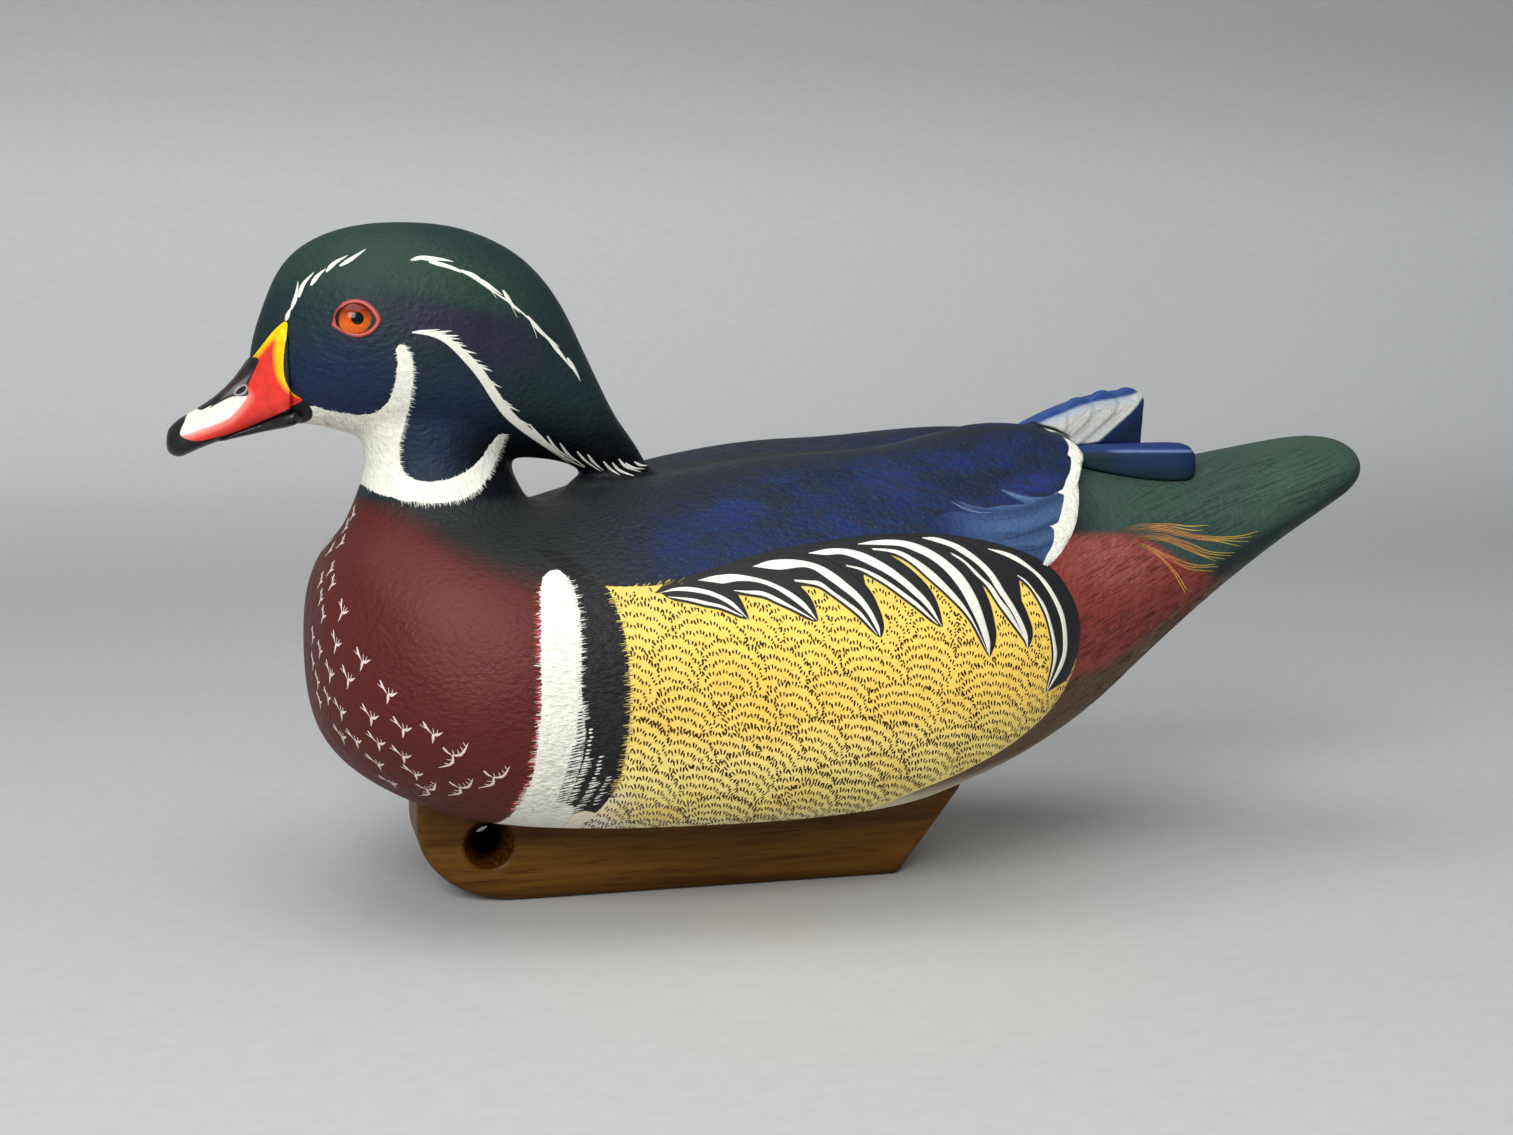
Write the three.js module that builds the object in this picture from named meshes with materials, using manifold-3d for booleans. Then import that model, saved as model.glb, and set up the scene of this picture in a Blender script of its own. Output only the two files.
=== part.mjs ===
// Carved and painted wood-duck drake decoy on a wooden keel.
// Millimetres. The bill points to -X, the drake's left side faces -Y, +Z is up,
// and the underside of the keel stands on Z = 0.
import * as THREE from 'three';
import { mergeVertices } from 'three/addons/utils/BufferGeometryUtils.js';
import Module from 'manifold-3d';

const wasm = await Module();
wasm.setup();

// Driving dimensions
const GAP = 0.3;
const FLAT_Z = 27;
const KEEL = { front: -117, rearTop: 45, rearBottom: 24.5, half: 15, edge: 2.2 };
const CORD_HOLE = { x: -97, z: 17.2, rimRadius: 7, rimDepth: 8, boreRadius: 4 };
const EYE = { x: -130.6, y: 22.2, z: 165.6, radius: 5.2, reach: 1.6 };
const BODY_SIDES = 48;
const BODY_RINGS = 58;
const HEAD_RINGS = 36;
const HEAD_SIDES = 32;
const WING_WALL = 7;
const FLANK_WALL = 36;
const TAIL_CUT = { x: 112, lean: 8 };
const NECK_CUT_Z = 116;
const HEAD_CUT_Z = 127;
const CREST_X = -88.3;

// Curves through a few hand-set stations
function spline(values, t) {
  const last = values.length - 1;
  const at = Math.min(Math.max(t, 0), 1) * last;
  const i = Math.min(Math.floor(at), last - 1);
  const f = at - i;
  const p1 = values[i];
  const p2 = values[i + 1];
  const p0 = i > 0 ? values[i - 1] : 2 * p1 - p2;
  const p3 = i < last - 1 ? values[i + 2] : 2 * p2 - p1;
  const m1 = (p2 - p0) / 2;
  const m2 = (p3 - p1) / 2;
  const f2 = f * f;
  const f3 = f2 * f;
  return (2 * f3 - 3 * f2 + 1) * p1 + (f3 - 2 * f2 + f) * m1 + (3 * f2 - 2 * f3) * p2 + (f3 - f2) * m2;
}

function stationsAt(stations, t) {
  return stations[0].map((_, k) => spline(stations.map((row) => row[k]), t));
}

function bump(value, centre, reach) {
  const d = Math.abs(value - centre) / reach;
  return d < 1 ? Math.cos(d * Math.PI / 2) ** 2 : 0;
}

function ramp(value, from, to) {
  const f = Math.min(Math.max((value - from) / (to - from), 0), 1);
  return f * f * (3 - 2 * f);
}

function power(value, exponent) {
  return Math.sign(value) * Math.abs(value) ** exponent;
}

// A closed surface from rings of points between two end points
function loft(rings, sides, ringPoint) {
  const positions = [];
  const index = [];
  for (let r = 0; r <= rings; r++) {
    for (let s = 0; s < sides; s++) {
      positions.push(...ringPoint(r / rings, s / sides * 2 * Math.PI));
    }
  }
  for (let r = 0; r < rings; r++) {
    for (let s = 0; s < sides; s++) {
      const a = r * sides + s;
      const b = r * sides + (s + 1) % sides;
      index.push(a, b, b + sides, a, b + sides, a + sides);
    }
  }
  const geometry = new THREE.BufferGeometry();
  geometry.setAttribute('position', new THREE.Float32BufferAttribute(positions, 3));
  geometry.setIndex(index);
  return geometry;
}

// Manifold solids: joining and cutting only
function signedVolume(vertices, triangles) {
  let sum = 0;
  const corner = (i) => new THREE.Vector3().fromArray(vertices, 3 * i);
  for (let t = 0; t < triangles.length; t += 3) {
    sum += corner(triangles[t]).dot(corner(triangles[t + 1]).cross(corner(triangles[t + 2])));
  }
  return sum;
}

function solid(geometry) {
  const bare = geometry.clone();
  bare.deleteAttribute('normal');
  bare.deleteAttribute('uv');
  const merged = mergeVertices(bare, 1e-3);
  const vertices = new Float32Array(merged.attributes.position.array);
  const kept = [];
  const source = merged.index.array;
  for (let t = 0; t < source.length; t += 3) {
    const [a, b, c] = [source[t], source[t + 1], source[t + 2]];
    if (a !== b && b !== c && a !== c) kept.push(a, b, c);
  }
  if (signedVolume(vertices, kept) < 0) {
    for (let t = 0; t < kept.length; t += 3) [kept[t], kept[t + 1]] = [kept[t + 1], kept[t]];
  }
  const mesh = new wasm.Mesh({ numProp: 3, vertProperties: vertices, triVerts: new Uint32Array(kept) });
  return new wasm.Manifold(mesh);
}

function largest(body) {
  return body.decompose().sort((a, b) => b.volume() - a.volume())[0];
}

function geometryOf(body) {
  const mesh = body.getMesh();
  const geometry = new THREE.BufferGeometry();
  geometry.setAttribute('position', new THREE.Float32BufferAttribute(mesh.vertProperties, 3));
  geometry.setIndex([...mesh.triVerts]);
  geometry.computeVertexNormals();
  return geometry;
}

function mirrored(geometry) {
  return geometry.clone().scale(1, -1, 1);
}

// A side outline in X and Z, made into a slab from yFrom to yTo
function sideSlab(outline, yFrom, yTo) {
  const geometry = new THREE.ExtrudeGeometry(outline, { depth: yTo - yFrom, bevelEnabled: false, curveSegments: 10 });
  geometry.rotateX(Math.PI / 2);
  return geometry.translate(0, yTo, 0);
}

function box(x0, x1, y0, y1, z0, z1) {
  const geometry = new THREE.BoxGeometry(x1 - x0, y1 - y0, z1 - z0);
  return geometry.translate((x0 + x1) / 2, (y0 + y1) / 2, (z0 + z1) / 2);
}

// Body from breast to tail tip: x, top, bottom, half width, height of the widest line
const BODY = [
  [-146.5, 72, 72, 0, 72],
  [-144.8, 90, 55, 26, 72],
  [-138, 103, 43.5, 45.5, 72],
  [-124, 110, 33.5, 59, 72],
  [-104, 112, 25.5, 68.5, 72],
  [-78, 113, 20.5, 73.5, 71.5],
  [-48, 119.5, 18.5, 75.5, 71.5],
  [-15, 124, 18.5, 76, 72],
  [18, 125, 22.5, 74, 74],
  [48, 125, 31.5, 66.5, 79],
  [74, 122, 43.6, 54, 86],
  [98, 119, 60.4, 42.5, 94],
  [122, 121.4, 78.4, 34.5, 101.5],
  [143, 124.6, 94, 31, 109.5],
  [160, 127.2, 104.8, 27, 115.2],
  [171, 126.4, 111.4, 19, 118.4],
  [176.6, 119.8, 119.8, 0, 119.8],
];

function bodyPoint(t, angle, raise) {
  const [x, top, bottom, half, wide] = stationsAt(BODY, t);
  const taper = ramp(x, 70, 125);
  const upper = 2 / (2.25 - 0.3 * taper);
  const lower = 2 / (2.35 - 0.35 * taper);
  const c = Math.cos(angle);
  const s = Math.sin(angle);
  const y = half * power(c, s > 0 ? upper : lower);
  const z = s > 0 ? wide + (top - wide) * power(s, upper) : wide + (wide - bottom) * power(s, lower);
  const lift = raise && half > 1 ? raise(x, y, z) : 0;
  return [x, y + lift * c, z + lift * s];
}

function bodyGeometry(raise) {
  return loft(BODY_RINGS, BODY_SIDES, (t, angle) => bodyPoint(t, angle, raise));
}

// The carved relief of the folded wings and of the flank feathers over the body
function wingRaise(x, y) {
  const rear = ramp(x, 5, 58);
  const line = 29 - 15 * rear;
  const front = (3 + 2.2 * ramp(x, -70, 0)) * ramp(x, -84, -40);
  const height = front + (y < 0 ? 4.5 : 0.6) * rear;
  const fall = 1 - 0.45 * ramp(x, 68, 86);
  return 0.6 + (height * bump(Math.abs(y), line, 25) + 1.4 * rear) * fall;
}

function flankRaise(x, y, z) {
  const rear = ramp(x, -55, 40);
  return 0.2 + 3 * rear * bump(z, 76, 52);
}

// Side outlines of the wing and of the flank
function wingOutline(grow) {
  const shape = new THREE.Shape();
  shape.moveTo(-76 - grow, 97 - grow);
  shape.lineTo(-56, 95 - grow);
  shape.quadraticCurveTo(-28, 100.5 - grow, -6, 104 - grow);
  shape.quadraticCurveTo(22, 108.5 - grow, 38, 103.5 - grow);
  shape.lineTo(50.5 + grow, 98.5 - grow);
  shape.quadraticCurveTo(60.5 + grow, 103.5, 67 + grow, 113);
  shape.quadraticCurveTo(72.5 + grow, 120, 76.4 + grow, 124.8);
  shape.quadraticCurveTo(80 + grow, 130, 75, 137);
  shape.quadraticCurveTo(70, 144, 50, 146);
  shape.lineTo(-76 - grow, 146);
  return shape;
}

function flankOutline(grow) {
  const shape = new THREE.Shape();
  shape.moveTo(-70 - grow, 20);
  shape.quadraticCurveTo(-60 - grow, 60, -75 - grow, 97 + grow);
  shape.lineTo(-56, 95 + grow);
  shape.quadraticCurveTo(-28, 100.5 + grow, -6, 104 + grow);
  shape.quadraticCurveTo(22, 108.5 + grow, 38, 103.5 + grow);
  shape.quadraticCurveTo(55 + grow, 96, 59 + grow, 80);
  shape.quadraticCurveTo(61 + grow, 66, 52 + grow, 56);
  shape.quadraticCurveTo(36, 40, 18, 20);
  return shape;
}

// Neck: height, front, back, half width
const NECK = [
  [84, -137, -62, 34],
  [94, -140, -66, 42],
  [104, -136.3, -74.5, 34],
  [112, -132.5, -81.5, 26.5],
  [120, -129.3, -86, 21.5],
  [128, -127.9, -88.5, 19.5],
  [137, -131, -88, 19],
  [146, -130, -92, 15],
];

function neckPoint(t, angle) {
  const [z, front, back, half] = stationsAt(NECK, t);
  const open = t === 0 || t === 1 ? 0 : 1;
  const middle = (front + back) / 2;
  const reach = (back - front) / 2;
  return [middle + open * reach * power(Math.cos(angle), 0.92), open * half * power(Math.sin(angle), 0.92), z];
}

// Head and crest: x, top, bottom, half width, height of the widest line
const HEAD = [
  [-159.2, 151, 151, 0, 151],
  [-158.2, 158.5, 142, 5, 150],
  [-155, 168.5, 137.6, 8.6, 151],
  [-149.5, 180, 136.4, 12.4, 153],
  [-141, 187, 135.8, 17.8, 156],
  [-129.5, 190.8, 132.5, 22.4, 158],
  [-116, 191.8, 129.5, 24.4, 158],
  [-102.5, 190.6, 128, 23.8, 158],
  [-90.5, 186.4, 125.8, 21, 156],
  [-81, 179.8, 125.3, 18, 153],
  [-73, 169.5, 124, 15.2, 147],
  [-65.5, 154, 121, 12.6, 137],
  [-57.5, 137.5, 119.3, 9.6, 127.5],
  [-50.5, 128.2, 119.2, 6.4, 122.8],
  [-46.5, 121.8, 121.8, 0, 121.8],
];

function headPoint(t, angle) {
  const [x, top, bottom, half, wide] = stationsAt(HEAD, t);
  const c = Math.cos(angle);
  const s = Math.sin(angle);
  const n = 2 / 2.15;
  const z = s > 0 ? wide + (top - wide) * power(s, n) : wide + (wide - bottom) * power(s, n);
  return [x, half * power(c, n), z];
}

// Bill: x, top, bottom, half width, height of the widest line
const BILL_UPPER = [
  [-181.4, 131.5, 131.5, 0, 131.5],
  [-181, 135, 129.2, 3.4, 131.8],
  [-178.2, 138, 127.8, 6, 132],
  [-173, 141, 130, 7.2, 133.6],
  [-167, 145.2, 132.2, 7.6, 136],
  [-161.5, 151, 134.2, 8.3, 139.5],
  [-156, 159.5, 136.4, 10, 143.5],
  [-151.6, 164.6, 138, 12.4, 148],
  [-148.4, 166.6, 138.6, 14, 148],
  [-147.4, 148, 148, 0, 148],
];

const BILL_LOWER = [
  [-177.6, 129.9, 129.9, 0, 129.9],
  [-176.6, 131.4, 129.6, 3.4, 130.4],
  [-172, 133, 130.8, 5.4, 131.8],
  [-164, 136, 132.6, 6, 134],
  [-155, 138.6, 134.6, 7.6, 136.4],
  [-147, 141, 136.4, 11.6, 138.8],
  [-141.5, 140, 140, 0, 140],
];

function billPoint(stations, t, angle) {
  const [x, top, bottom, half, wide] = stationsAt(stations, t);
  const c = Math.cos(angle);
  const s = Math.sin(angle);
  const boxy = ramp(x, -166, -151);
  const z = s > 0 ? wide + (top - wide) * power(s, 1.1 - 0.65 * boxy) : wide + (wide - bottom) * power(s, 0.8);
  return [x, half * power(c, 0.9 - 0.35 * boxy), z];
}

function billGeometry(stations) {
  return loft(17, 16, (t, angle) => billPoint(stations, t, angle));
}

// Eyes, set in carved lids
function eyeGeometry(side, extra) {
  const sphere = new THREE.SphereGeometry(EYE.radius + extra, 16, 10);
  return sphere.translate(EYE.x, side * (EYE.y - EYE.radius + EYE.reach), EYE.z);
}

function lidGeometry(side) {
  const lid = new THREE.TorusGeometry(5.6, 1.5, 6, 18);
  lid.scale(1.08, 0.94, 0.9);
  lid.rotateX(Math.PI / 2);
  lid.rotateX(side * 0.12);
  lid.rotateZ(side * 0.1);
  return lid.translate(EYE.x, side * (EYE.y - 0.3), EYE.z);
}

// Wing tips crossed over the rump: on the left a raised fan of four stepped primaries,
// on the right one rounded bundle that passes under it
const FAN = { count: 4, tipX: 75.5, tipZ: 142, stepX: 8.5, drop: 0.62, length: 38, width: 8.4, depth: 3, rise: 0.7 };
const FAN_LEAN = { slope: 0.16, atX: 105, y: -2, half: 3.6 };
const BUNDLE = { from: [46, 0, 119], to: [115.4, -17, 120.8], half: 6.6 };

function leaned(geometry) {
  const { slope, atX, y } = FAN_LEAN;
  const shear = new THREE.Matrix4().set(1, 0, 0, 0, slope, 1, 0, y - slope * atX, 0, 0, 1, 0, 0, 0, 0, 1);
  return geometry.applyMatrix4(shear);
}

function fanBlock() {
  const shape = new THREE.Shape();
  shape.moveTo(50, 112);
  shape.lineTo(56, 129);
  shape.quadraticCurveTo(76, 140.5, 98, 142.2);
  shape.quadraticCurveTo(103.4, 142, 103.6, 139);
  shape.lineTo(102, 118);
  shape.lineTo(96, 112);
  return leaned(sideSlab(shape, -FAN_LEAN.half, FAN_LEAN.half));
}

function fanVane(i) {
  const { count, tipX, tipZ, stepX, drop, length, width, depth, rise } = FAN;
  const shape = new THREE.Shape();
  const half = width / 2;
  shape.moveTo(0, 0);
  shape.quadraticCurveTo(-1.2, half, -half - 1, half);
  shape.lineTo(-length, half * 0.7);
  shape.lineTo(-length, -half * 0.7);
  shape.lineTo(-half - 1, -half);
  shape.quadraticCurveTo(-1.2, -half, 0, 0);
  const vane = new THREE.ExtrudeGeometry(shape, { depth, bevelEnabled: false, curveSegments: 5 });
  vane.rotateZ(rise);
  vane.rotateX(Math.PI / 2);
  const proud = 0.6 * (count - i);
  const height = tipZ - drop * (count - 1 - i) ** 2;
  return leaned(vane.translate(tipX + i * stepX, depth - FAN_LEAN.half - proud, height));
}

function leftPrimaries() {
  let joined = solid(fanBlock());
  for (let i = 0; i < FAN.count; i++) joined = joined.add(solid(fanVane(i)));
  return joined;
}

function bundleGeometry() {
  const from = new THREE.Vector3(...BUNDLE.from);
  const axis = new THREE.Vector3(...BUNDLE.to).sub(from);
  const across = new THREE.Vector3(-axis.y, axis.x, 0).normalize();
  return loft(18, 16, (t, angle) => {
    const along = 0.5 - 0.5 * Math.cos(Math.PI * t);
    const round = t === 0 || t === 1 ? 0 : (1 - Math.abs(2 * along - 1) ** 18) ** 0.5;
    const out = BUNDLE.half * round * power(Math.cos(angle), 0.55);
    const up = BUNDLE.half * round * power(Math.sin(angle), 0.55);
    const point = from.clone().addScaledVector(axis, along).addScaledVector(across, out);
    return [point.x, point.y, point.z + up];
  });
}

// Keel: side outline with a rounded front and a slanted rear, softened edges and a counterbored cord hole
function keelOutline(inset) {
  const shape = new THREE.Shape();
  const { front, rearTop, rearBottom } = KEEL;
  const top = FLAT_Z - GAP;
  shape.moveTo(front + inset, top);
  shape.lineTo(front + inset, 21);
  shape.bezierCurveTo(front + inset + 1, 10, front + 12, inset, front + 30, inset);
  shape.lineTo(rearBottom - inset / 2, inset);
  shape.lineTo(rearTop - inset, top);
  return shape;
}

function keelSolid() {
  const { half, edge } = KEEL;
  let body = solid(sideSlab(keelOutline(0), -half + edge, half - edge));
  const steps = 3;
  for (let i = 1; i <= steps; i++) {
    const turn = i / steps * Math.PI / 2;
    const inset = edge * (1 - Math.cos(turn));
    const reach = half - edge + edge * Math.sin(turn);
    body = body.add(solid(sideSlab(keelOutline(inset), -reach, reach)));
  }
  const { x, z, rimRadius, rimDepth, boreRadius } = CORD_HOLE;
  const bore = new THREE.CylinderGeometry(boreRadius, boreRadius, 2 * half + 4, 24).translate(x, 0, z);
  const rim = new THREE.CylinderGeometry(rimRadius, rimRadius, rimDepth + 2, 32);
  rim.translate(x, -half + rimDepth / 2 - 1, z);
  return body.subtract(solid(bore)).subtract(solid(rim));
}

// Whole forms, before they are parted
const everywhere = 260;

function above(z) {
  return solid(box(-everywhere, everywhere, -everywhere, everywhere, z, 2 * everywhere));
}

function behind(x) {
  return solid(box(x, 2 * everywhere, -everywhere, everywhere, -everywhere, everywhere));
}

function behindTailCut(shift) {
  const block = box(0, everywhere, -everywhere, everywhere, -everywhere, everywhere);
  block.rotateY(TAIL_CUT.lean * Math.PI / 180);
  return solid(block.translate(TAIL_CUT.x + shift, 0, 100));
}

function sideBlock(outline, wall, side) {
  const geometry = sideSlab(outline, wall, 120);
  return solid(side > 0 ? geometry : mirrored(geometry));
}

const underFloor = solid(box(-everywhere, everywhere, -everywhere, everywhere, -everywhere, FLAT_Z));
const bodyForm = solid(bodyGeometry()).subtract(underFloor);
const wingForm = solid(bodyGeometry(wingRaise)).subtract(underFloor);
const flankForm = solid(bodyGeometry(flankRaise)).subtract(underFloor);
const neckForm = solid(loft(18, 36, neckPoint));
const headForm = solid(loft(HEAD_RINGS, HEAD_SIDES, headPoint));
const billUpperForm = solid(billGeometry(BILL_UPPER));
const billLowerForm = solid(billGeometry(BILL_LOWER));

// Shells that keep a neighbour clear by the gap
function grown(geometry, amount) {
  const merged = mergeVertices(geometry, 1e-3);
  merged.computeVertexNormals();
  const position = merged.attributes.position;
  const normal = merged.attributes.normal;
  const outward = signedVolume(position.array, merged.index.array) < 0 ? -1 : 1;
  for (let i = 0; i < position.count; i++) {
    const step = outward * amount;
    position.setXYZ(i, position.getX(i) + step * normal.getX(i), position.getY(i) + step * normal.getY(i),
      position.getZ(i) + step * normal.getZ(i));
  }
  merged.deleteAttribute('normal');
  return solid(merged);
}

// Torso, tail, wings and flanks: one body parted by thin cuts
const neckRoot = neckForm.subtract(above(NECK_CUT_Z));
let core = bodyForm.add(neckRoot);
const wings = {};
const flanks = {};
for (const side of [-1, 1]) {
  core = core.subtract(sideBlock(wingOutline(GAP), WING_WALL - GAP, side));
  core = core.subtract(sideBlock(flankOutline(GAP), FLANK_WALL - GAP, side));
  wings[side] = largest(wingForm.intersect(sideBlock(wingOutline(0), WING_WALL, side)));
  const flank = flankForm.subtract(sideBlock(wingOutline(GAP), 0, side));
  flanks[side] = largest(flank.intersect(sideBlock(flankOutline(0), FLANK_WALL, side)));
}
const tail = largest(core.intersect(behindTailCut(GAP)));
const torso = largest(core.subtract(behindTailCut(0)));

// Wing tips stand on the rump and the wings
const cut = (form, others) => largest(others.reduce((rest, other) => rest.subtract(other), form));
const rumpShell = grown(bodyGeometry(), GAP);
const wingShell = grown(bodyGeometry(wingRaise), GAP);
const wingShells = [-1, 1].map((side) => wingShell.intersect(sideBlock(wingOutline(GAP), WING_WALL - GAP, side)));
const rightTip = cut(solid(bundleGeometry()), [rumpShell, ...wingShells]);
const bundleShell = grown(bundleGeometry(), GAP);
const leftTip = cut(leftPrimaries(), [rumpShell, ...wingShells, bundleShell]);

// Head, neck and bill
const lids = [-1, 1].map((side) => solid(lidGeometry(side)));
const sockets = [-1, 1].map((side) => solid(eyeGeometry(side, GAP)));
const headShell = grown(loft(HEAD_RINGS, HEAD_SIDES, headPoint), GAP);
const neckTop = above(HEAD_CUT_Z - GAP).add(headShell.intersect(behind(CREST_X - GAP)));
const neck = cut(neckForm.intersect(above(NECK_CUT_Z + GAP)), [neckTop]);
const crest = headForm.intersect(behind(CREST_X));
let headWhole = headForm.intersect(above(HEAD_CUT_Z)).add(neckForm.intersect(above(HEAD_CUT_Z))).add(crest);
for (const lid of lids) headWhole = headWhole.add(lid);
for (const socket of sockets) headWhole = headWhole.subtract(socket);
const upper = cut(billUpperForm, [headShell]);
const lower = cut(billLowerForm, [headShell, grown(billGeometry(BILL_UPPER), GAP)]);

const parts = {
  torso: [torso, '#6a2228'],
  tail: [tail, '#2c5344'],
  wing_left: [wings[-1], '#1d2a66'],
  wing_right: [wings[1], '#1d2a66'],
  flank_left: [flanks[-1], '#d9ae50'],
  flank_right: [flanks[1], '#d9ae50'],
  primaries_left: [leftTip, '#d8d3c0'],
  primaries_right: [rightTip, '#1f3f73'],
  neck: [neck, '#d9d6c8'],
  head: [largest(headWhole), '#1c2a2e'],
  bill_upper: [upper, '#c23a26'],
  bill_lower: [lower, '#15110f'],
  keel: [keelSolid(), '#7a4a1e'],
};
for (const side of [-1, 1]) parts[side < 0 ? 'eye_left' : 'eye_right'] = [solid(eyeGeometry(side, 0)), '#c8401c'];

const duck = new THREE.Group();
for (const [name, [form, color]] of Object.entries(parts)) {
  const mesh = new THREE.Mesh(geometryOf(form), new THREE.MeshStandardMaterial({ color, roughness: 0.5 }));
  mesh.name = name;
  duck.add(mesh);
}
export default duck;
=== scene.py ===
"""A carved and painted wood duck drake decoy on a varnished keel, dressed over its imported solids."""

import math

import bmesh
import bpy
import numpy as np
import openvdb
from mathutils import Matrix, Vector
from mathutils.bvhtree import BVHTree


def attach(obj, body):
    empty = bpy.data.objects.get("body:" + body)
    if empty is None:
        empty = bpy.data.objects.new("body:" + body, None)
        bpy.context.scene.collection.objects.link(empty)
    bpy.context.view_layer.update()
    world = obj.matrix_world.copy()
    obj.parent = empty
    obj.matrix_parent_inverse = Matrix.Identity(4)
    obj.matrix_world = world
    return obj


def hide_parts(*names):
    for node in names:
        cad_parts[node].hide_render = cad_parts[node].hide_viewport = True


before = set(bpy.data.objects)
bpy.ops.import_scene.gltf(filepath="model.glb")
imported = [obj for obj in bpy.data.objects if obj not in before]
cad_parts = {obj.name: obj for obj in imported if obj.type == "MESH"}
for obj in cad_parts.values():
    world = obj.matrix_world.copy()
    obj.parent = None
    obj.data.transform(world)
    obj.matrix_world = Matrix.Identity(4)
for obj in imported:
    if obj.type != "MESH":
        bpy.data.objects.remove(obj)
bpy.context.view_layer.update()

# Driving sizes, in millimetres in the bird's own frame: bill towards -X, left side towards -Y, +Z up
MM = 0.001
SKIN_NODES = ("torso", "tail", "wing_left", "wing_right", "flank_left", "flank_right", "neck", "head")
SKIN_VOXEL = 0.75
TIP_VOXEL = 0.4
BILL_VOXEL = 0.32
KEEL_VOXEL = 0.6
SEAM = 0.42
# The low mound of the back that the tip of the crest rests on: its middle and half sizes
CREST_REST = ((-57.0, 0.0, 112.0), (17.0, 12.0, 10.5))
EYE = (-130.6, 18.6, 165.6)
# The skin within the first distance of the eye's axis is made level with the ring between the two
SOCKET = (8.6, 11.5)
# The axis of the keel's cord hole, x and z
HOLE = (-97.0, 17.2)
# Taken from a coat's distance where the coat doesn't reach
FAR = 100


# Fine meshes from the solids

def node_arrays(names):
    """Points in millimetres and triangles of these CAD nodes, joined."""
    points, triangles, start = [], [], 0
    for name in names:
        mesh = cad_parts[name].data
        mesh.calc_loop_triangles()
        co = np.zeros(len(mesh.vertices) * 3, np.float32)
        mesh.vertices.foreach_get("co", co)
        tri = np.zeros(len(mesh.loop_triangles) * 3, np.int32)
        mesh.loop_triangles.foreach_get("vertices", tri)
        points.append(co.reshape(-1, 3) / MM)
        triangles.append(tri.reshape(-1, 3) + start)
        start += len(mesh.vertices)
    return np.concatenate(points), np.concatenate(triangles)


def level_set(points, voxel, triangles=None, quads=None):
    """A distance grid round a closed surface."""
    faces = {}
    if triangles is not None:
        faces["triangles"] = triangles.astype(np.uint32)
    if quads is not None:
        faces["quads"] = quads.astype(np.uint32)
    transform = openvdb.createLinearTransform(voxelSize=voxel)
    points = np.ascontiguousarray(points, np.float32)
    return openvdb.FloatGrid.createLevelSetFromPolygons(points, transform=transform, halfWidth=3.0, **faces)


def egg(at, size):
    """The points and triangles of a closed egg shape."""
    ball = bmesh.new()
    bmesh.ops.create_icosphere(ball, subdivisions=5, radius=1.0)
    ball.verts.index_update()
    points = np.array([vertex.co for vertex in ball.verts]) * size + at
    triangles = np.array([[vertex.index for vertex in face.verts] for face in ball.faces])
    ball.free()
    return points, triangles


def fused(names, voxel, seam, grow=0.0, mounds=()):
    """Points and quads of one surface round the nodes and mounds, its narrow seams closed."""
    points, triangles = node_arrays(names)
    for mound in mounds:
        more, faces = egg(*mound)
        triangles = np.concatenate([triangles, faces + len(points)])
        points = np.concatenate([points, more])
    grid = level_set(points, voxel, triangles=triangles)
    points, quads = grid.convertToQuads(seam)
    grid = level_set(points, voxel, quads=quads)
    points, quads = grid.convertToQuads(grow - seam)
    return outer_shell(points, quads)


def outer_shell(points, quads):
    """Only the largest connected surface of these, its faces turned outwards."""
    label = np.arange(len(points))
    while True:
        low = label[quads].min(axis=1)
        new = label.copy()
        for corner in range(4):
            np.minimum.at(new, quads[:, corner], low)
        new = new[new]
        if np.array_equal(new, label):
            break
        label = new
    names, counts = np.unique(label, return_counts=True)
    keep = label == names[counts.argmax()]
    index = np.cumsum(keep) - 1
    quads = index[quads[keep[quads[:, 0]]]]
    points = points[keep].astype(float)
    if signed_volume(points, quads) < 0:
        quads = quads[:, ::-1]
    return points, quads


def signed_volume(points, quads):
    """More than 0 where the faces of a closed mesh look outwards."""
    a, b, c, d = (points[quads[:, i]] for i in range(4))
    return float((a * (np.cross(b, c) + np.cross(c, d))).sum())


def quad_normals(points, quads):
    """Unit normals at the points of a quad mesh."""
    face = np.cross(points[quads[:, 2]] - points[quads[:, 0]], points[quads[:, 3]] - points[quads[:, 1]])
    total = np.zeros_like(points)
    for corner in range(4):
        for axis in range(3):
            total[:, axis] += np.bincount(quads[:, corner], face[:, axis], len(points))
    return total / np.maximum(np.linalg.norm(total, axis=1), 1e-9)[:, None]


class Links:
    """The neighbours of every point of a quad mesh, for averaging."""

    def __init__(self, quads, count):
        ends = np.concatenate([quads[:, [0, 1]], quads[:, [1, 2]], quads[:, [2, 3]], quads[:, [3, 0]]])
        ends = np.unique(np.sort(ends, axis=1), axis=0)
        self.here = np.concatenate([ends[:, 0], ends[:, 1]])
        self.there = np.concatenate([ends[:, 1], ends[:, 0]])
        self.count = count
        self.valence = np.maximum(np.bincount(self.here, minlength=count), 1)

    def mean(self, values):
        if values.ndim == 1:
            return np.bincount(self.here, values[self.there], self.count) / self.valence
        return np.stack([self.mean(values[:, axis]) for axis in range(values.shape[1])], axis=1)

    def relax(self, values, steps, strength):
        """Values moved towards their neighbours' mean; strength is a number, or one for each point."""
        weight = strength[:, None] if np.ndim(strength) and values.ndim > 1 else strength
        for _ in range(steps):
            values = values + weight * (self.mean(values) - values)
        return values


def ramp(value, low, high):
    """0 below low, 1 above high and smooth between; high below low runs the other way."""
    t = np.clip((value - low) / (high - low), 0, 1)
    return t * t * (3 - 2 * t)


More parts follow.
